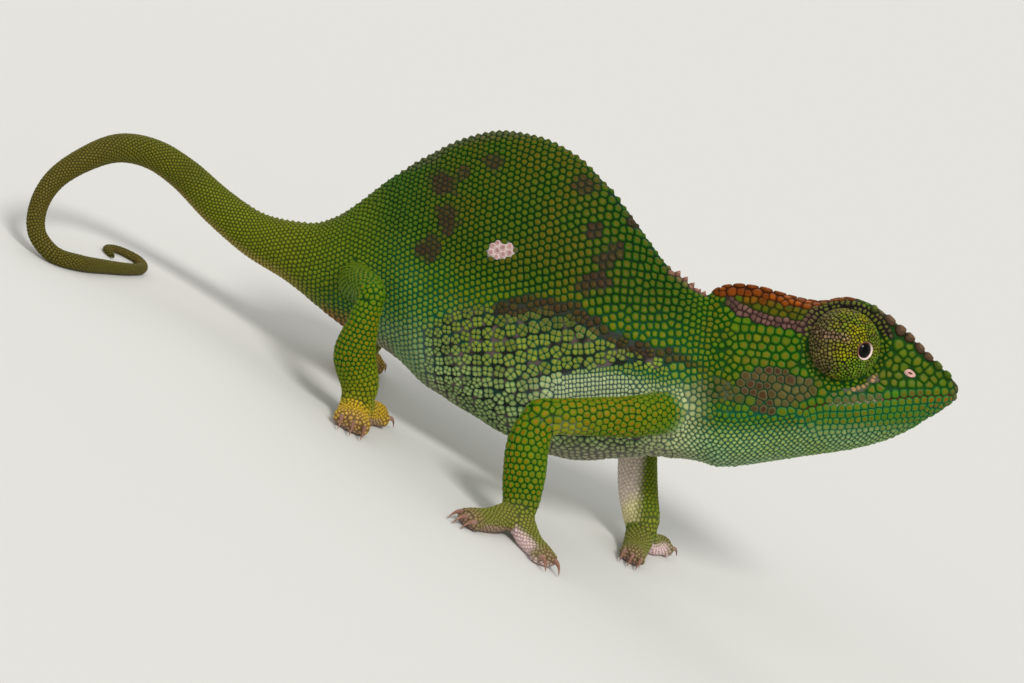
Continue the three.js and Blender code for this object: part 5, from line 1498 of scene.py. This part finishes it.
nostrils = []
bare_p = []
for side in (1, -1):
    hit = side_hit(NOSTRIL[0], NOSTRIL[1], side)
    n = soft_normal([hit])[0]
    along = unit(HX * math.cos(NOSTRIL_TILT) + HZ * math.sin(NOSTRIL_TILT) - n * (HX * math.cos(NOSTRIL_TILT) + HZ * math.sin(NOSTRIL_TILT)).dot(n))
    nostrils.append((hit + n * 0.30, n, along, np.cross(n, along)))
    bare_p += [hit + n * 0.2 + along * d for d in (-0.5, 0.0, 0.5)]
pool = dict(p=np.concatenate([P, bare_p]), size=np.concatenate([W, np.full(6, 0.95)]), kind=np.concatenate([KIND, np.full(6, PLATE)]), cluster=np.concatenate([CL, np.full(6, -1)]))
pool_tree = tree_of(pool["p"])
NORMAL = soft_normal(P)
CORE, RIM, _ = paint(AT)
shade = 1 + rng.normal(0, 0.07, len(P))[:, None]
paw = 1 + np.clip(rng.normal(0, 0.13, len(centres)), -0.25, 0.22)
shade *= np.where(CL >= 0, paw[np.maximum(CL, 0)], 1.0)[:, None]
CORE, RIM = np.clip(CORE * shade, 0, 1), np.clip(RIM * (1 + rng.normal(0, 0.05, len(P))[:, None]) * np.where(CL >= 0, paw[np.maximum(CL, 0)], 1.0)[:, None], 0, 1)
UV = atlas_uv(AT)
RISES = np.array([RISE[k] for k in range(9)])
HEIGHTS = np.array([HEIGHT[k] for k in range(9)])

limb_like = AT.limb > 0.5
foot_like = loft_is(AT, None, TOES)
region = np.where(foot_like, 4, np.where(limb_like, 3, np.where(AT.s > S_VENT, 5, np.where(AT.hx > 0.5, 0, np.where(AT.left, 2, 1)))))
region[(region == 5) & (AT.s > AX.knots[19])] = 6
REGION = {0: "scales_head", 1: "scales_body_right", 2: "scales_body_left", 3: "scales_limbs", 4: "scales_feet", 5: "scales_tail", 6: "scales_tail_end"}
coat_pieces = []
total_tris = 0
for key, name in REGION.items():
    coat = Coat()
    m = np.flatnonzero(region == key)
    for big in (True, False):
        fine_limit = 0.95 if key != 0 else 0.84
        sel = m[(W[m] >= fine_limit) == big] if big else m[W[m] < fine_limit]
        if not len(sel):
            continue
        k = 12 if big else 8
        outline, t1, t2, phi, seam = cells(P[sel], NORMAL[sel], W[sel], KIND[sel], CL[sel], k, pool_tree, pool)
        height = HEIGHTS[KIND[sel]] * np.clip(outline.mean(1) * 2, 0.2, 2.2)
        rise = RISES[KIND[sel]]
        fractions = (0.93, 0.72, 0.36) if big else (0.92, 0.62)
        if not big:
            rise = rise[:, :2]
        sink = np.full(len(sel), 0.09)
        lean = None
        if key == 0:
            bead = (KIND[sel] == BEAD)[:, None]
            lean = -HX[None] * 0.35 * bead
        coat.add(P[sel], NORMAL[sel], outline, t1, t2, phi, height, rise, fractions, CORE[sel], RIM[sel], UV[sel], sink, lean, seam=seam)
    print(name, coat.triangles())
    total_tris += coat.triangles()
    coat_pieces.append(coat.build(name))
print("coat", total_tris)

# ------------------------------------------------------------------ the skin piece
skin = new_mesh("skin", SV, quads=SQ)
skin_at = Place(SV)
SC, SR, SG = paint(skin_at)
add_colour(skin.data, "groove", np.clip(SG, 0, 1))
FLESH = [n for n in frame["nodes"] if not n.startswith("eye_") and not n.startswith("pupil_") and "_claw_" not in n]
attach(skin, "root")
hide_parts(*FLESH)


# ------------------------------------------------------------------ nostrils: a low oval rim round a slit; the rim's pale pink is partly its own colour and partly a painted highlight, and the slit is painted near black as painted shade inside the opening
def oval_rings(middle, n, along, across, profile, count=32):
    a = 2 * np.pi * np.arange(count) / count
    return np.array([middle + along * (long * np.cos(a))[:, None] + across * (short * np.sin(a))[:, None] + n * up for long, short, up in profile])


NOSTRIL_PROFILE = [(1.02, 0.60, -0.45), (1.0, 0.58, -0.08), (0.92, 0.50, 0.06), (0.74, 0.36, 0.12), (0.50, 0.20, 0.11), (0.34, 0.10, 0.06), (0.26, 0.06, -0.02), (0.14, 0.03, -0.09)]
nostril_v, nostril_f, nostril_c = [], [], []
for middle, n, along, across in nostrils:
    rings = oval_rings(middle, n, along, across, NOSTRIL_PROFILE)
    v, quads, caps = loft_mesh(rings)
    f = fan_tris(quads, caps, 0)
    mid_v = v - v.mean(0)
    if np.einsum("ij,ij->i", mid_v[f[:, 0]], np.cross(mid_v[f[:, 1]], mid_v[f[:, 2]])).sum() < 0:
        f = f[:, ::-1]
    nostril_f.append(f + sum(len(w) for w in nostril_v))
    nostril_v.append(v)
    # outer rings pale, partly a painted highlight; inner rings dark brown to near black, painted shade inside the
    # nostril
    tone = np.repeat([0, 0, 0, 0, 0, 1, 2, 2], 32)
    colour = np.array([rgb(206, 164, 154), rgb(150, 100, 88), rgb(70, 38, 32)])[tone]
    colour = colour * (1 + 0.25 * noise(rings.reshape(-1, 3), 0.5, 51))[:, None]
    colour = np.concatenate([colour, np.tile(colour[-1], (len(v) - len(colour), 1))]) if len(v) > len(colour) else colour
    nostril_c.append(colour)
nostril = new_mesh("nostrils", np.concatenate(nostril_v), tris=np.concatenate(nostril_f))
add_colour(nostril.data, "groove", np.concatenate(nostril_c))
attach(nostril, "root")


# ------------------------------------------------------------------ eyes: scaly turrets with a small round opening
def sphere_frame(look):
    ref = HZ if abs(HZ.dot(look)) < 0.9 else HX
    e1 = unit(np.cross(ref, look))
    return e1, np.cross(look, e1)


def sphere_point(c, look, e1, e2, theta, phi, r):
    theta, phi, r = (np.asarray(v, float) for v in (theta, phi, r))
    return c + (look * np.cos(theta)[..., None] + (e1 * np.cos(phi)[..., None] + e2 * np.sin(phi)[..., None]) * np.sin(theta)[..., None]) * r[..., None]


OPEN = 1.20  # radius of the lid opening, mm
for side, word in ((1, "left"), (-1, "right")):
    c, look = eye_at(side)
    e1, e2 = sphere_frame(look)
    base = EYE_RADIUS - 0.14
    t_open = math.asin(OPEN / base)
    # the turret's skin: a lid rim rolled in at the opening, shallow ring folds, closed at the back
    prof = []
    for t, r in ((0.0, 4.35), (t_open * 0.55, 4.4), (t_open * 0.92, 4.62), (t_open * 0.97, 4.9), (t_open * 0.99, 5.18), (t_open * 1.04, 5.36), (t_open * 1.11, 5.42), (t_open * 1.20, 5.38), (t_open * 1.32, 5.30)):
        prof.append((t, r))
    for deg in np.arange(math.degrees(t_open * 1.32) + 2.2, 150, 1.6):
        t = math.radians(deg)
        ringed = 0.055 * math.sin(math.radians(deg) * 5.33 / 0.62 * math.pi * 1.0) * float(ramp(deg, 24, 40))
        prof.append((t, base - 0.02 + ringed))
    prof = np.array(prof)
    n = 72
    phi = 2 * np.pi * np.arange(n) / n
    rings = sphere_point(c, look, e1, e2, np.repeat(prof[1:, 0][:, None], n, 1), np.tile(phi, (len(prof) - 1, 1)), np.repeat(prof[1:, 1][:, None], n, 1))
    verts = np.concatenate([[c + look * prof[0, 1]], rings.reshape(-1, 3), [c - look * base * 0.88]])
    tris = []
    nr = len(rings)
    for j in range(n):
        tris.append((0, 1 + j, 1 + (j + 1) % n))
        tris.append((1 + nr * n, 1 + (nr - 1) * n + (j + 1) % n, 1 + (nr - 1) * n + j))
    i, j = np.meshgrid(np.arange(nr - 1), np.arange(n), indexing="ij")
    a, b = (1 + i * n + j).ravel(), (1 + i * n + (j + 1) % n).ravel()
    tris = np.concatenate([np.array(tris), np.stack([a, a + n, b + n], 1), np.stack([a, b + n, b], 1)])
    turret = new_mesh("turret_" + word, verts, tris=tris)
    # colours by distance from the opening and by place on the head
    def turret_paint(q):
        x, y, z = head_coords(q)
        d = unit(q - c)
        ang = np.degrees(np.arccos(np.clip(d @ look, -1, 1)))
        dx, dz = x - EYE_CENTRE[0], z - EYE_CENTRE[2]
        n1, n2 = noise(q, 1.3, 31), noise(q, 0.6, 32)
        core = mix(rgb(150, 146, 10), rgb(120, 138, 20), ramp(n1, -0.3, 0.5))
        core = mix(core, rgb(112, 104, 56), ramp(n2 + 0.4 * noise(q, 2.4, 33), -0.1, 0.7) * 0.6)
        groove = mix(rgb(44, 46, 14), rgb(26, 36, 16), ramp(n2, -0.4, 0.4))
        back = ramp(-dx + 0.7 * n1, 0.2, 3.4)
        core = mix(core, rgb(112, 92, 68), back * 0.66)
        groove = mix(groove, rgb(70, 56, 50), back * 0.6)
        streak = ramp(1 - np.abs(dz - 0.9 + 0.25 * dx) / 0.9, 0.1, 0.6) * ramp(-dx, -1.4, 0.2)
        core = mix(core, rgb(150, 114, 96), streak * 0.75)
        # the turret's lower side: the granules a brighter green, their own colour; the grooves between them near black,
        # painted shade under the turret
        under = ramp(-dz + 0.5 * dx * 0.3, 1.0, 3.2) * ramp(dx, -3.0, 0.5)
        core = mix(core, rgb(92, 148, 40), under * 0.6)
        groove = mix(groove, rgb(12, 20, 12), under * 0.8)
        front = ramp(dx, 2.6, 4.6)
        core = mix(core, rgb(96, 128, 40), front * 0.5)
        edge = ramp(ang, 70, 88)
        core, groove = mix(core, rgb(104, 100, 62), edge * 0.5), mix(groove, rgb(58, 50, 40), edge * 0.6)
        return core * 0.84, groove * 0.62, ang
    tc, tg, tang = turret_paint(verts)
    rim_w = 1 - ramp(tang, math.degrees(t_open) * 1.08, math.degrees(t_open) * 1.19)
    below = ramp((unit(verts - c) - look) @ (-0.75 * HZ + 0.66 * HX), -0.12, 0.12)[:, None]
    tg = mix(tg, rgb(132, 96, 72) * (1 - below) + rgb(250, 226, 216) * below, rim_w)
    deep = 1 - ramp(np.linalg.norm(verts - c, axis=1), 4.7, 5.2)
    tg = mix(tg, rgb(60, 36, 26), deep * rim_w)
    add_colour(turret.data, "groove", np.clip(tg, 0, 1))
    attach(turret, "root")
    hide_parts("eye_" + word)
    # granules in rings about the opening
    pts, sizes = [], []
    row, t = 0, t_open * 1.20 + 0.045
    while t < math.radians(118):
        w = interp(math.degrees(t), [15, 30, 60, 118], [0.42, 0.52, 0.60, 0.62])
        count = max(8, int(round(2 * math.pi * base * math.sin(t) / w)))
        off = rng.random()
        for j in range(count):
            f = 2 * math.pi * (j + off + np.clip(rng.normal(0, 0.17), -0.3, 0.3)) / count
            pts.append(sphere_point(c, look, e1, e2, t + np.clip(rng.normal(0, 0.14), -0.26, 0.26) * w / base, f, base))
            sizes.append(w * (1 + np.clip(0.2 * rng.normal(), -0.35, 0.4)))
        t += w * (0.90 if t < 0.8 else 1.02) / base
        row += 1
    pts, sizes = np.array(pts), np.array(sizes)
    # those sunk in the head aren't grown
    ok = []
    for i, q in enumerate(pts):
        hit = skin_bvh.find_nearest(q)
        inside = (Vector(q) - hit[0]).dot(hit[1]) < -0.25
        ok.append(not inside)
    pts, sizes = pts[ok], sizes[ok]
    nrm = unit(pts - c)
    tp = tree_of(pts)
    outline, t1, t2, ph, _ = cells(pts, nrm, sizes, np.zeros(len(pts), int), np.full(len(pts), -1), 8, tp, dict(p=pts, size=sizes, cluster=np.full(len(pts), -1)))
    gc, gg, _ = turret_paint(pts)
    gc = np.clip(gc * (1 + rng.normal(0, 0.17, len(pts))[:, None]), 0, 1)
    gc = mix(gc, rgb(92, 62, 46) * 0.8, (rng.random(len(pts)) < 0.14) * 0.6)
    coat = Coat()
    k = 8
    ring_dir = t1[:, None] * np.cos(ph)[None, :, None] + t2[:, None] * np.sin(ph)[None, :, None]
    hgt = 0.13
    levels = [(1.0, -0.05), (0.86, hgt * 0.62), (0.5, hgt * 0.95)]
    rings = [c + unit(pts[:, None] + ring_dir * (outline * f)[:, :, None] - c) * (base + lift) for f, lift in levels]
    body = np.concatenate([r.reshape(len(pts), -1, 3) for r in rings] + [(c + nrm * (base + hgt))[:, None]], 1)
    per = 3 * k + 1
    tri = []
    for a_ in range(2):
        for j in range(k):
            j2 = (j + 1) % k
            tri += [(a_ * k + j, a_ * k + j2, (a_ + 1) * k + j2), (a_ * k + j, (a_ + 1) * k + j2, (a_ + 1) * k + j)]
    tri += [(2 * k + j, 2 * k + (j + 1) % k, 3 * k) for j in range(k)] + [(0, j + 1, j) for j in range(1, k - 1)]
    tri = np.array(tri)
    coat.v.append(body.reshape(-1, 3))
    coat.f.append((tri[None] + (np.arange(len(pts)) * per)[:, None, None]).reshape(-1, 3))
    coat.core.append(np.repeat(gc, per, axis=0))
    coat.rim.append(np.repeat(np.clip(gc * 0.62 + gg * 0.2, 0, 1), per, axis=0))
    coat.rad.append(np.tile(np.concatenate([np.full(k, 1.1), np.full(k, 0.86), np.full(k, 0.5), [0.0]]), len(pts)))
    ang = np.arccos(np.clip(nrm @ look, -1, 1))
    azi = np.arctan2(nrm @ e2, nrm @ e1)
    uvc = 0.5 + np.stack([np.cos(azi), np.sin(azi)], 1) * (0.46 * ang / math.radians(120))[:, None]
    around = np.concatenate([np.stack([np.cos(ph), np.sin(ph)], 1) * f * 0.0015 for f, _ in levels] + [np.zeros((1, 2))])
    coat.uv.append((uvc[:, None] + around[None]).reshape(-1, 2))
    granules = coat.build("turret_scales_" + word)
    coat_pieces.append(granules)
    # the eyeball behind the opening: brown iris round a wide pupil, under one glossy dome
    eb_c, eb_r = c + look * 3.72, 1.78
    rings, cols = [], []
    n = 48
    phi = 2 * np.pi * np.arange(n) / n
    angs = np.radians([3, 8, 13, 18, 23, 27, 31, 34, 37, 40, 43, 47, 52, 58, 66, 75, 85, 95, 108, 122, 136, 150, 164, 174])
    for t in angs:
        rings.append(sphere_point(eb_c, look, e1, e2, np.full(n, t), phi, np.full(n, eb_r)))
        d = math.degrees(t)
        iris = float(ramp(d, 37, 40))
        bright = float(ramp(d, 39, 41)) * (1 - float(ramp(d, 43, 47)))
        col = rgb(2, 2, 2) * (1 - iris) + rgb(84, 44, 24) * iris
        col = col * (1 - 0.5 * bright) + rgb(150, 96, 60) * 0.5 * bright
        cols.append(np.tile(col, (n, 1)))
    rings = np.array(rings)
    v, quads, caps = loft_mesh(rings)
    tris = fan_tris(quads, caps, 0)[:, ::-1]
    eyeball = new_mesh("eyeball_" + word, v, tris=tris)
    add_colour(eyeball.data, "groove", np.concatenate(cols))
    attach(eyeball, "root")
    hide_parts("pupil_" + word)


# ------------------------------------------------------------------ claws: smooth, hooked and a little flattened
def claw_mesh(name, root, way, over):
    stations_ = [(-0.35, 0.84, 0.46), (0.0, 0.90, 0.45), (0.2, 0.95, 0.41), (0.42, 0.92, 0.34), (0.62, 0.80, 0.26), (0.80, 0.58, 0.18), (0.92, 0.36, 0.11), (0.985, 0.17, 0.045)]
    z0 = root[2]
    rings = []
    a = 2 * np.pi * np.arange(12) / 12
    for f, zf, r in stations_:
        c = root + way * (CLAW_LENGTH * f * 0.98)
        z = max(z0 * (zf / 0.90), 0.06 + r)
        c = np.array([c[0], c[1], z])
        rings.append(c + over * (r * 0.78 * np.cos(a))[:, None] + np.array([0, 0, 1.0]) * (r * np.sin(a))[:, None])
    rings = np.array(rings)
    v, quads, caps = loft_mesh(rings)
    tris = fan_tris(quads, caps, 0)
    area = np.einsum("ij,ij->i", v[tris[:, 0]], np.cross(v[tris[:, 1]], v[tris[:, 2]])).sum()
    centre_v = v - v.mean(0)
    vol = np.einsum("ij,ij->i", centre_v[tris[:, 0]], np.cross(centre_v[tris[:, 1]], centre_v[tris[:, 2]])).sum()
    if vol < 0:
        tris = tris[:, ::-1]
    ob = new_mesh(name, v, tris=tris)
    f = np.repeat([max(0.0, s_[0]) for s_ in stations_], 12)
    add_float(ob.data, "rad", f)
    mod = ob.modifiers.new("round", "SUBSURF")
    mod.levels = mod.render_levels = 1
    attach(ob, "root")
    return ob


claws = []
for leg_name, leg in LEGS.items():
    which_leg, side = leg_name.split("_")
    foot = ("hand_" if which_leg == "arm" else "foot_") + side
    for which in TOES:
        for kk, (root, way, over, o) in enumerate(claw_roots(leg, leg[which])):
            node = f"{foot}_claw_{which}_{kk + 1}"
            ob = claw_mesh(node + "_smooth", root, way, over)
            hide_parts(node)
            claws.append(ob)


# ------------------------------------------------------------------ materials
def material(name, rough, specular=0.5, coat=0.0, coat_rough=0.1, ior=1.45):
    m = bpy.data.materials.new(name)
    m.use_nodes = True
    nt = m.node_tree
    bsdf = nt.nodes["Principled BSDF"]
    bsdf.inputs["Roughness"].default_value = rough
    bsdf.inputs["Specular IOR Level"].default_value = specular
    bsdf.inputs["Coat Weight"].default_value = coat
    bsdf.inputs["Coat Roughness"].default_value = coat_rough
    bsdf.inputs["IOR"].default_value = ior
    return m, nt, bsdf


def node(nt, kind, **values):
    n = nt.nodes.new(kind)
    for k, v in values.items():
        if hasattr(n, k):
            setattr(n, k, v)
        else:
            n.inputs[k].default_value = v
    return n


def attribute(nt, name):
    return node(nt, "ShaderNodeAttribute", attribute_name=name)


def object_noise(nt, scale, detail=2.0):
    tc = node(nt, "ShaderNodeTexCoord")
    n = node(nt, "ShaderNodeTexNoise")
    n.inputs["Scale"].default_value = scale
    n.inputs["Detail"].default_value = detail
    nt.links.new(tc.outputs["Object"], n.inputs["Vector"])
    return n


def bump(nt, source, strength, distance, bsdf):
    b = node(nt, "ShaderNodeBump")
    b.inputs["Strength"].default_value = strength
    b.inputs["Distance"].default_value = distance
    nt.links.new(source, b.inputs["Height"])
    nt.links.new(b.outputs["Normal"], bsdf.inputs["Normal"])


def mixed(nt, factor, a, b, mode="MIX"):
    m = nt.nodes.new("ShaderNodeMix")
    m.data_type, m.blend_type = "RGBA", mode
    for sock, val in ((m.inputs["Factor"], factor), (m.inputs["A"], a), (m.inputs["B"], b)):
        if isinstance(val, (int, float)):
            sock.default_value = val
        elif isinstance(val, (tuple, list)):
            sock.default_value = val
        else:
            nt.links.new(val, sock)
    return m.outputs["Result"]


def scale_material(name, rough, low=0.60, high=0.80):
    m, nt, bsdf = material(name, rough, 0.09)
    rad, core, rim = attribute(nt, "rad"), attribute(nt, "core"), attribute(nt, "rim")
    grain = object_noise(nt, 2600.0, 2.0)
    wob = node(nt, "ShaderNodeMath", operation="MULTIPLY_ADD")
    nt.links.new(grain.outputs["Fac"], wob.inputs[0])
    wob.inputs[1].default_value = 0.16
    nt.links.new(rad.outputs["Fac"], wob.inputs[2])
    step = node(nt, "ShaderNodeMapRange", interpolation_type="SMOOTHSTEP")
    step.inputs["From Min"].default_value, step.inputs["From Max"].default_value = low, high
    nt.links.new(wob.outputs[0], step.inputs["Value"])
    colour = mixed(nt, step.outputs["Result"], core.outputs["Color"], rim.outputs["Color"])
    # painted shade: each scale is darkened towards its foot, where it dips between its neighbours
    edge = node(nt, "ShaderNodeMapRange", interpolation_type="SMOOTHSTEP")
    edge.inputs["From Min"].default_value, edge.inputs["From Max"].default_value = 0.96, 1.12
    edge.inputs["To Max"].default_value = 0.5
    nt.links.new(rad.outputs["Fac"], edge.inputs["Value"])
    dark = mixed(nt, 1.0, colour, (0.35, 0.38, 0.35, 1), "MULTIPLY")
    colour = mixed(nt, edge.outputs["Result"], colour, dark)
    speck = object_noise(nt, 5200.0, 3.0)
    tone = node(nt, "ShaderNodeMapRange")
    tone.inputs["From Min"].default_value, tone.inputs["From Max"].default_value = 0.3, 0.7
    tone.inputs["To Min"].default_value, tone.inputs["To Max"].default_value = 0.86, 1.12
    nt.links.new(speck.outputs["Fac"], tone.inputs["Value"])
    hsv = node(nt, "ShaderNodeHueSaturation")
    nt.links.new(tone.outputs["Result"], hsv.inputs["Value"])
    nt.links.new(colour, hsv.inputs["Color"])
    nt.links.new(hsv.outputs["Color"], bsdf.inputs["Base Color"])
    bump(nt, speck.outputs["Fac"], 0.18, 0.00006, bsdf)
    return m


def skin_material(name, rough, amount):
    m, nt, bsdf = material(name, rough, 0.09)
    g = attribute(nt, "groove")
    grain = object_noise(nt, 3000.0, 3.0)
    tone = node(nt, "ShaderNodeMapRange")
    tone.inputs["From Min"].default_value, tone.inputs["From Max"].default_value = 0.3, 0.7
    tone.inputs["To Min"].default_value, tone.inputs["To Max"].default_value = 0.75, 1.2
    nt.links.new(grain.outputs["Fac"], tone.inputs["Value"])
    hsv = node(nt, "ShaderNodeHueSaturation")
    nt.links.new(tone.outputs["Result"], hsv.inputs["Value"])
    nt.links.new(g.outputs["Color"], hsv.inputs["Color"])
    nt.links.new(hsv.outputs["Color"], bsdf.inputs["Base Color"])
    bump(nt, grain.outputs["Fac"], amount, 0.0001, bsdf)
    return m


scales_mat = scale_material("scale", 0.40)
turret_scales_mat = scale_material("turret_scale", 0.5, 0.7, 0.95)
skin_mat = skin_material("skin_between", 0.6, 0.4)
turret_mat = skin_material("turret_skin", 0.52, 0.3)
eye_mat, nt, bsdf = material("eye", 0.04, 0.16)
grain = object_noise(nt, 4000.0, 2.0)
g = attribute(nt, "groove")
tone = node(nt, "ShaderNodeMapRange")
tone.inputs["To Min"].default_value, tone.inputs["To Max"].default_value = 0.7, 1.3
nt.links.new(grain.outputs["Fac"], tone.inputs["Value"])
hsv = node(nt, "ShaderNodeHueSaturation")
nt.links.new(tone.outputs["Result"], hsv.inputs["Value"])
nt.links.new(g.outputs["Color"], hsv.inputs["Color"])
nt.links.new(hsv.outputs["Color"], bsdf.inputs["Base Color"])
claw_mat, nt, bsdf = material("claw", 0.3, 0.5)
rad = attribute(nt, "rad")
r1 = node(nt, "ShaderNodeMapRange")
nt.links.new(rad.outputs["Fac"], r1.inputs["Value"])
streak = object_noise(nt, 1800.0, 2.0)
colour = mixed(nt, r1.outputs["Result"], (*rgb(150, 116, 104), 1), (*rgb(112, 62, 28), 1))
light = node(nt, "ShaderNodeMapRange")
light.inputs["From Min"].default_value, light.inputs["From Max"].default_value = 0.45, 0.75
light.inputs["To Max"].default_value = 0.5
nt.links.new(streak.outputs["Fac"], light.inputs["Value"])
colour = mixed(nt, light.outputs["Result"], colour, (*rgb(176, 138, 116), 1))
nt.links.new(colour, bsdf.inputs["Base Color"])
bump(nt, streak.outputs["Fac"], 0.15, 0.00005, bsdf)
for ob in coat_pieces:
    ob.data.materials.append(turret_scales_mat if ob.name.startswith("turret") else scales_mat)
skin.data.materials.append(skin_mat)
nostril.data.materials.append(turret_mat)
for word in ("left", "right"):
    bpy.data.objects["turret_" + word].data.materials.append(turret_mat)
    bpy.data.objects["eyeball_" + word].data.materials.append(eye_mat)
for ob in claws:
    ob.data.materials.append(claw_mat)

# ------------------------------------------------------------------ floor, lights and camera
floor_me = bpy.data.meshes.new("floor")
floor_me.from_pydata([(-4, -4, 0), (4, -4, 0), (4, 4, 0), (-4, 4, 0)], [], [(0, 1, 2, 3)])
floor = bpy.data.objects.new("floor", floor_me)
bpy.context.scene.collection.objects.link(floor)
fm, nt, bsdf = material("floor_paper", 0.85, 0.2)
bsdf.inputs["Base Color"].default_value = (0.68, 0.68, 0.66, 1)
floor_me.materials.append(fm)

world = bpy.data.worlds.new("soft") if bpy.context.scene.world is None else bpy.context.scene.world
bpy.context.scene.world = world
world.use_nodes = True
bg = world.node_tree.nodes.get("Background") or world.node_tree.nodes.new("ShaderNodeBackground")
bg.inputs[0].default_value = (0.93, 0.92, 0.90, 1)
bg.inputs[1].default_value = 0.60


def soft_light(name, travels, strength, width, colour=(1.0, 1.0, 0.98)):
    """A broad lamp far off, like a big studio panel: the way its light travels, and its width in degrees."""
    lamp = bpy.data.lights.new(name, "SUN")
    lamp.energy, lamp.angle, lamp.color = strength, math.radians(width), colour
    ob = bpy.data.objects.new(name, lamp)
    bpy.context.scene.collection.objects.link(ob)
    ob.rotation_mode = "QUATERNION"
    ob.rotation_quaternion = Vector(travels).to_track_quat("-Z", "Y")


soft_light("key", (-0.38, 0.62, -0.86), 1.75, 18, (1.0, 0.98, 0.94))
soft_light("fill", (0.70, 0.62, -0.42), 0.40, 60)
soft_light("rim", (0.25, -0.80, -0.78), 0.42, 36, (1.0, 0.98, 0.95))
soft_light("low", (-0.30, 0.92, -0.16), 0.36, 50)
bpy.context.scene.view_settings.view_transform = "Standard"

cam_data = bpy.data.cameras.new("view")
cam_data.lens, cam_data.sensor_width = 150.0, 36.0
cam_data.clip_start, cam_data.clip_end = 0.01, 20.0
cam = bpy.data.objects.new("view", cam_data)
bpy.context.scene.collection.objects.link(cam)
rot = Matrix((VIEW_R, VIEW_U, -VIEW_F)).transposed().to_4x4()
rot.translation = Vector(to_row(EYE_POINT))
cam.matrix_world = rot
bpy.context.scene.camera = cam

bpy.context.view_layer.update()
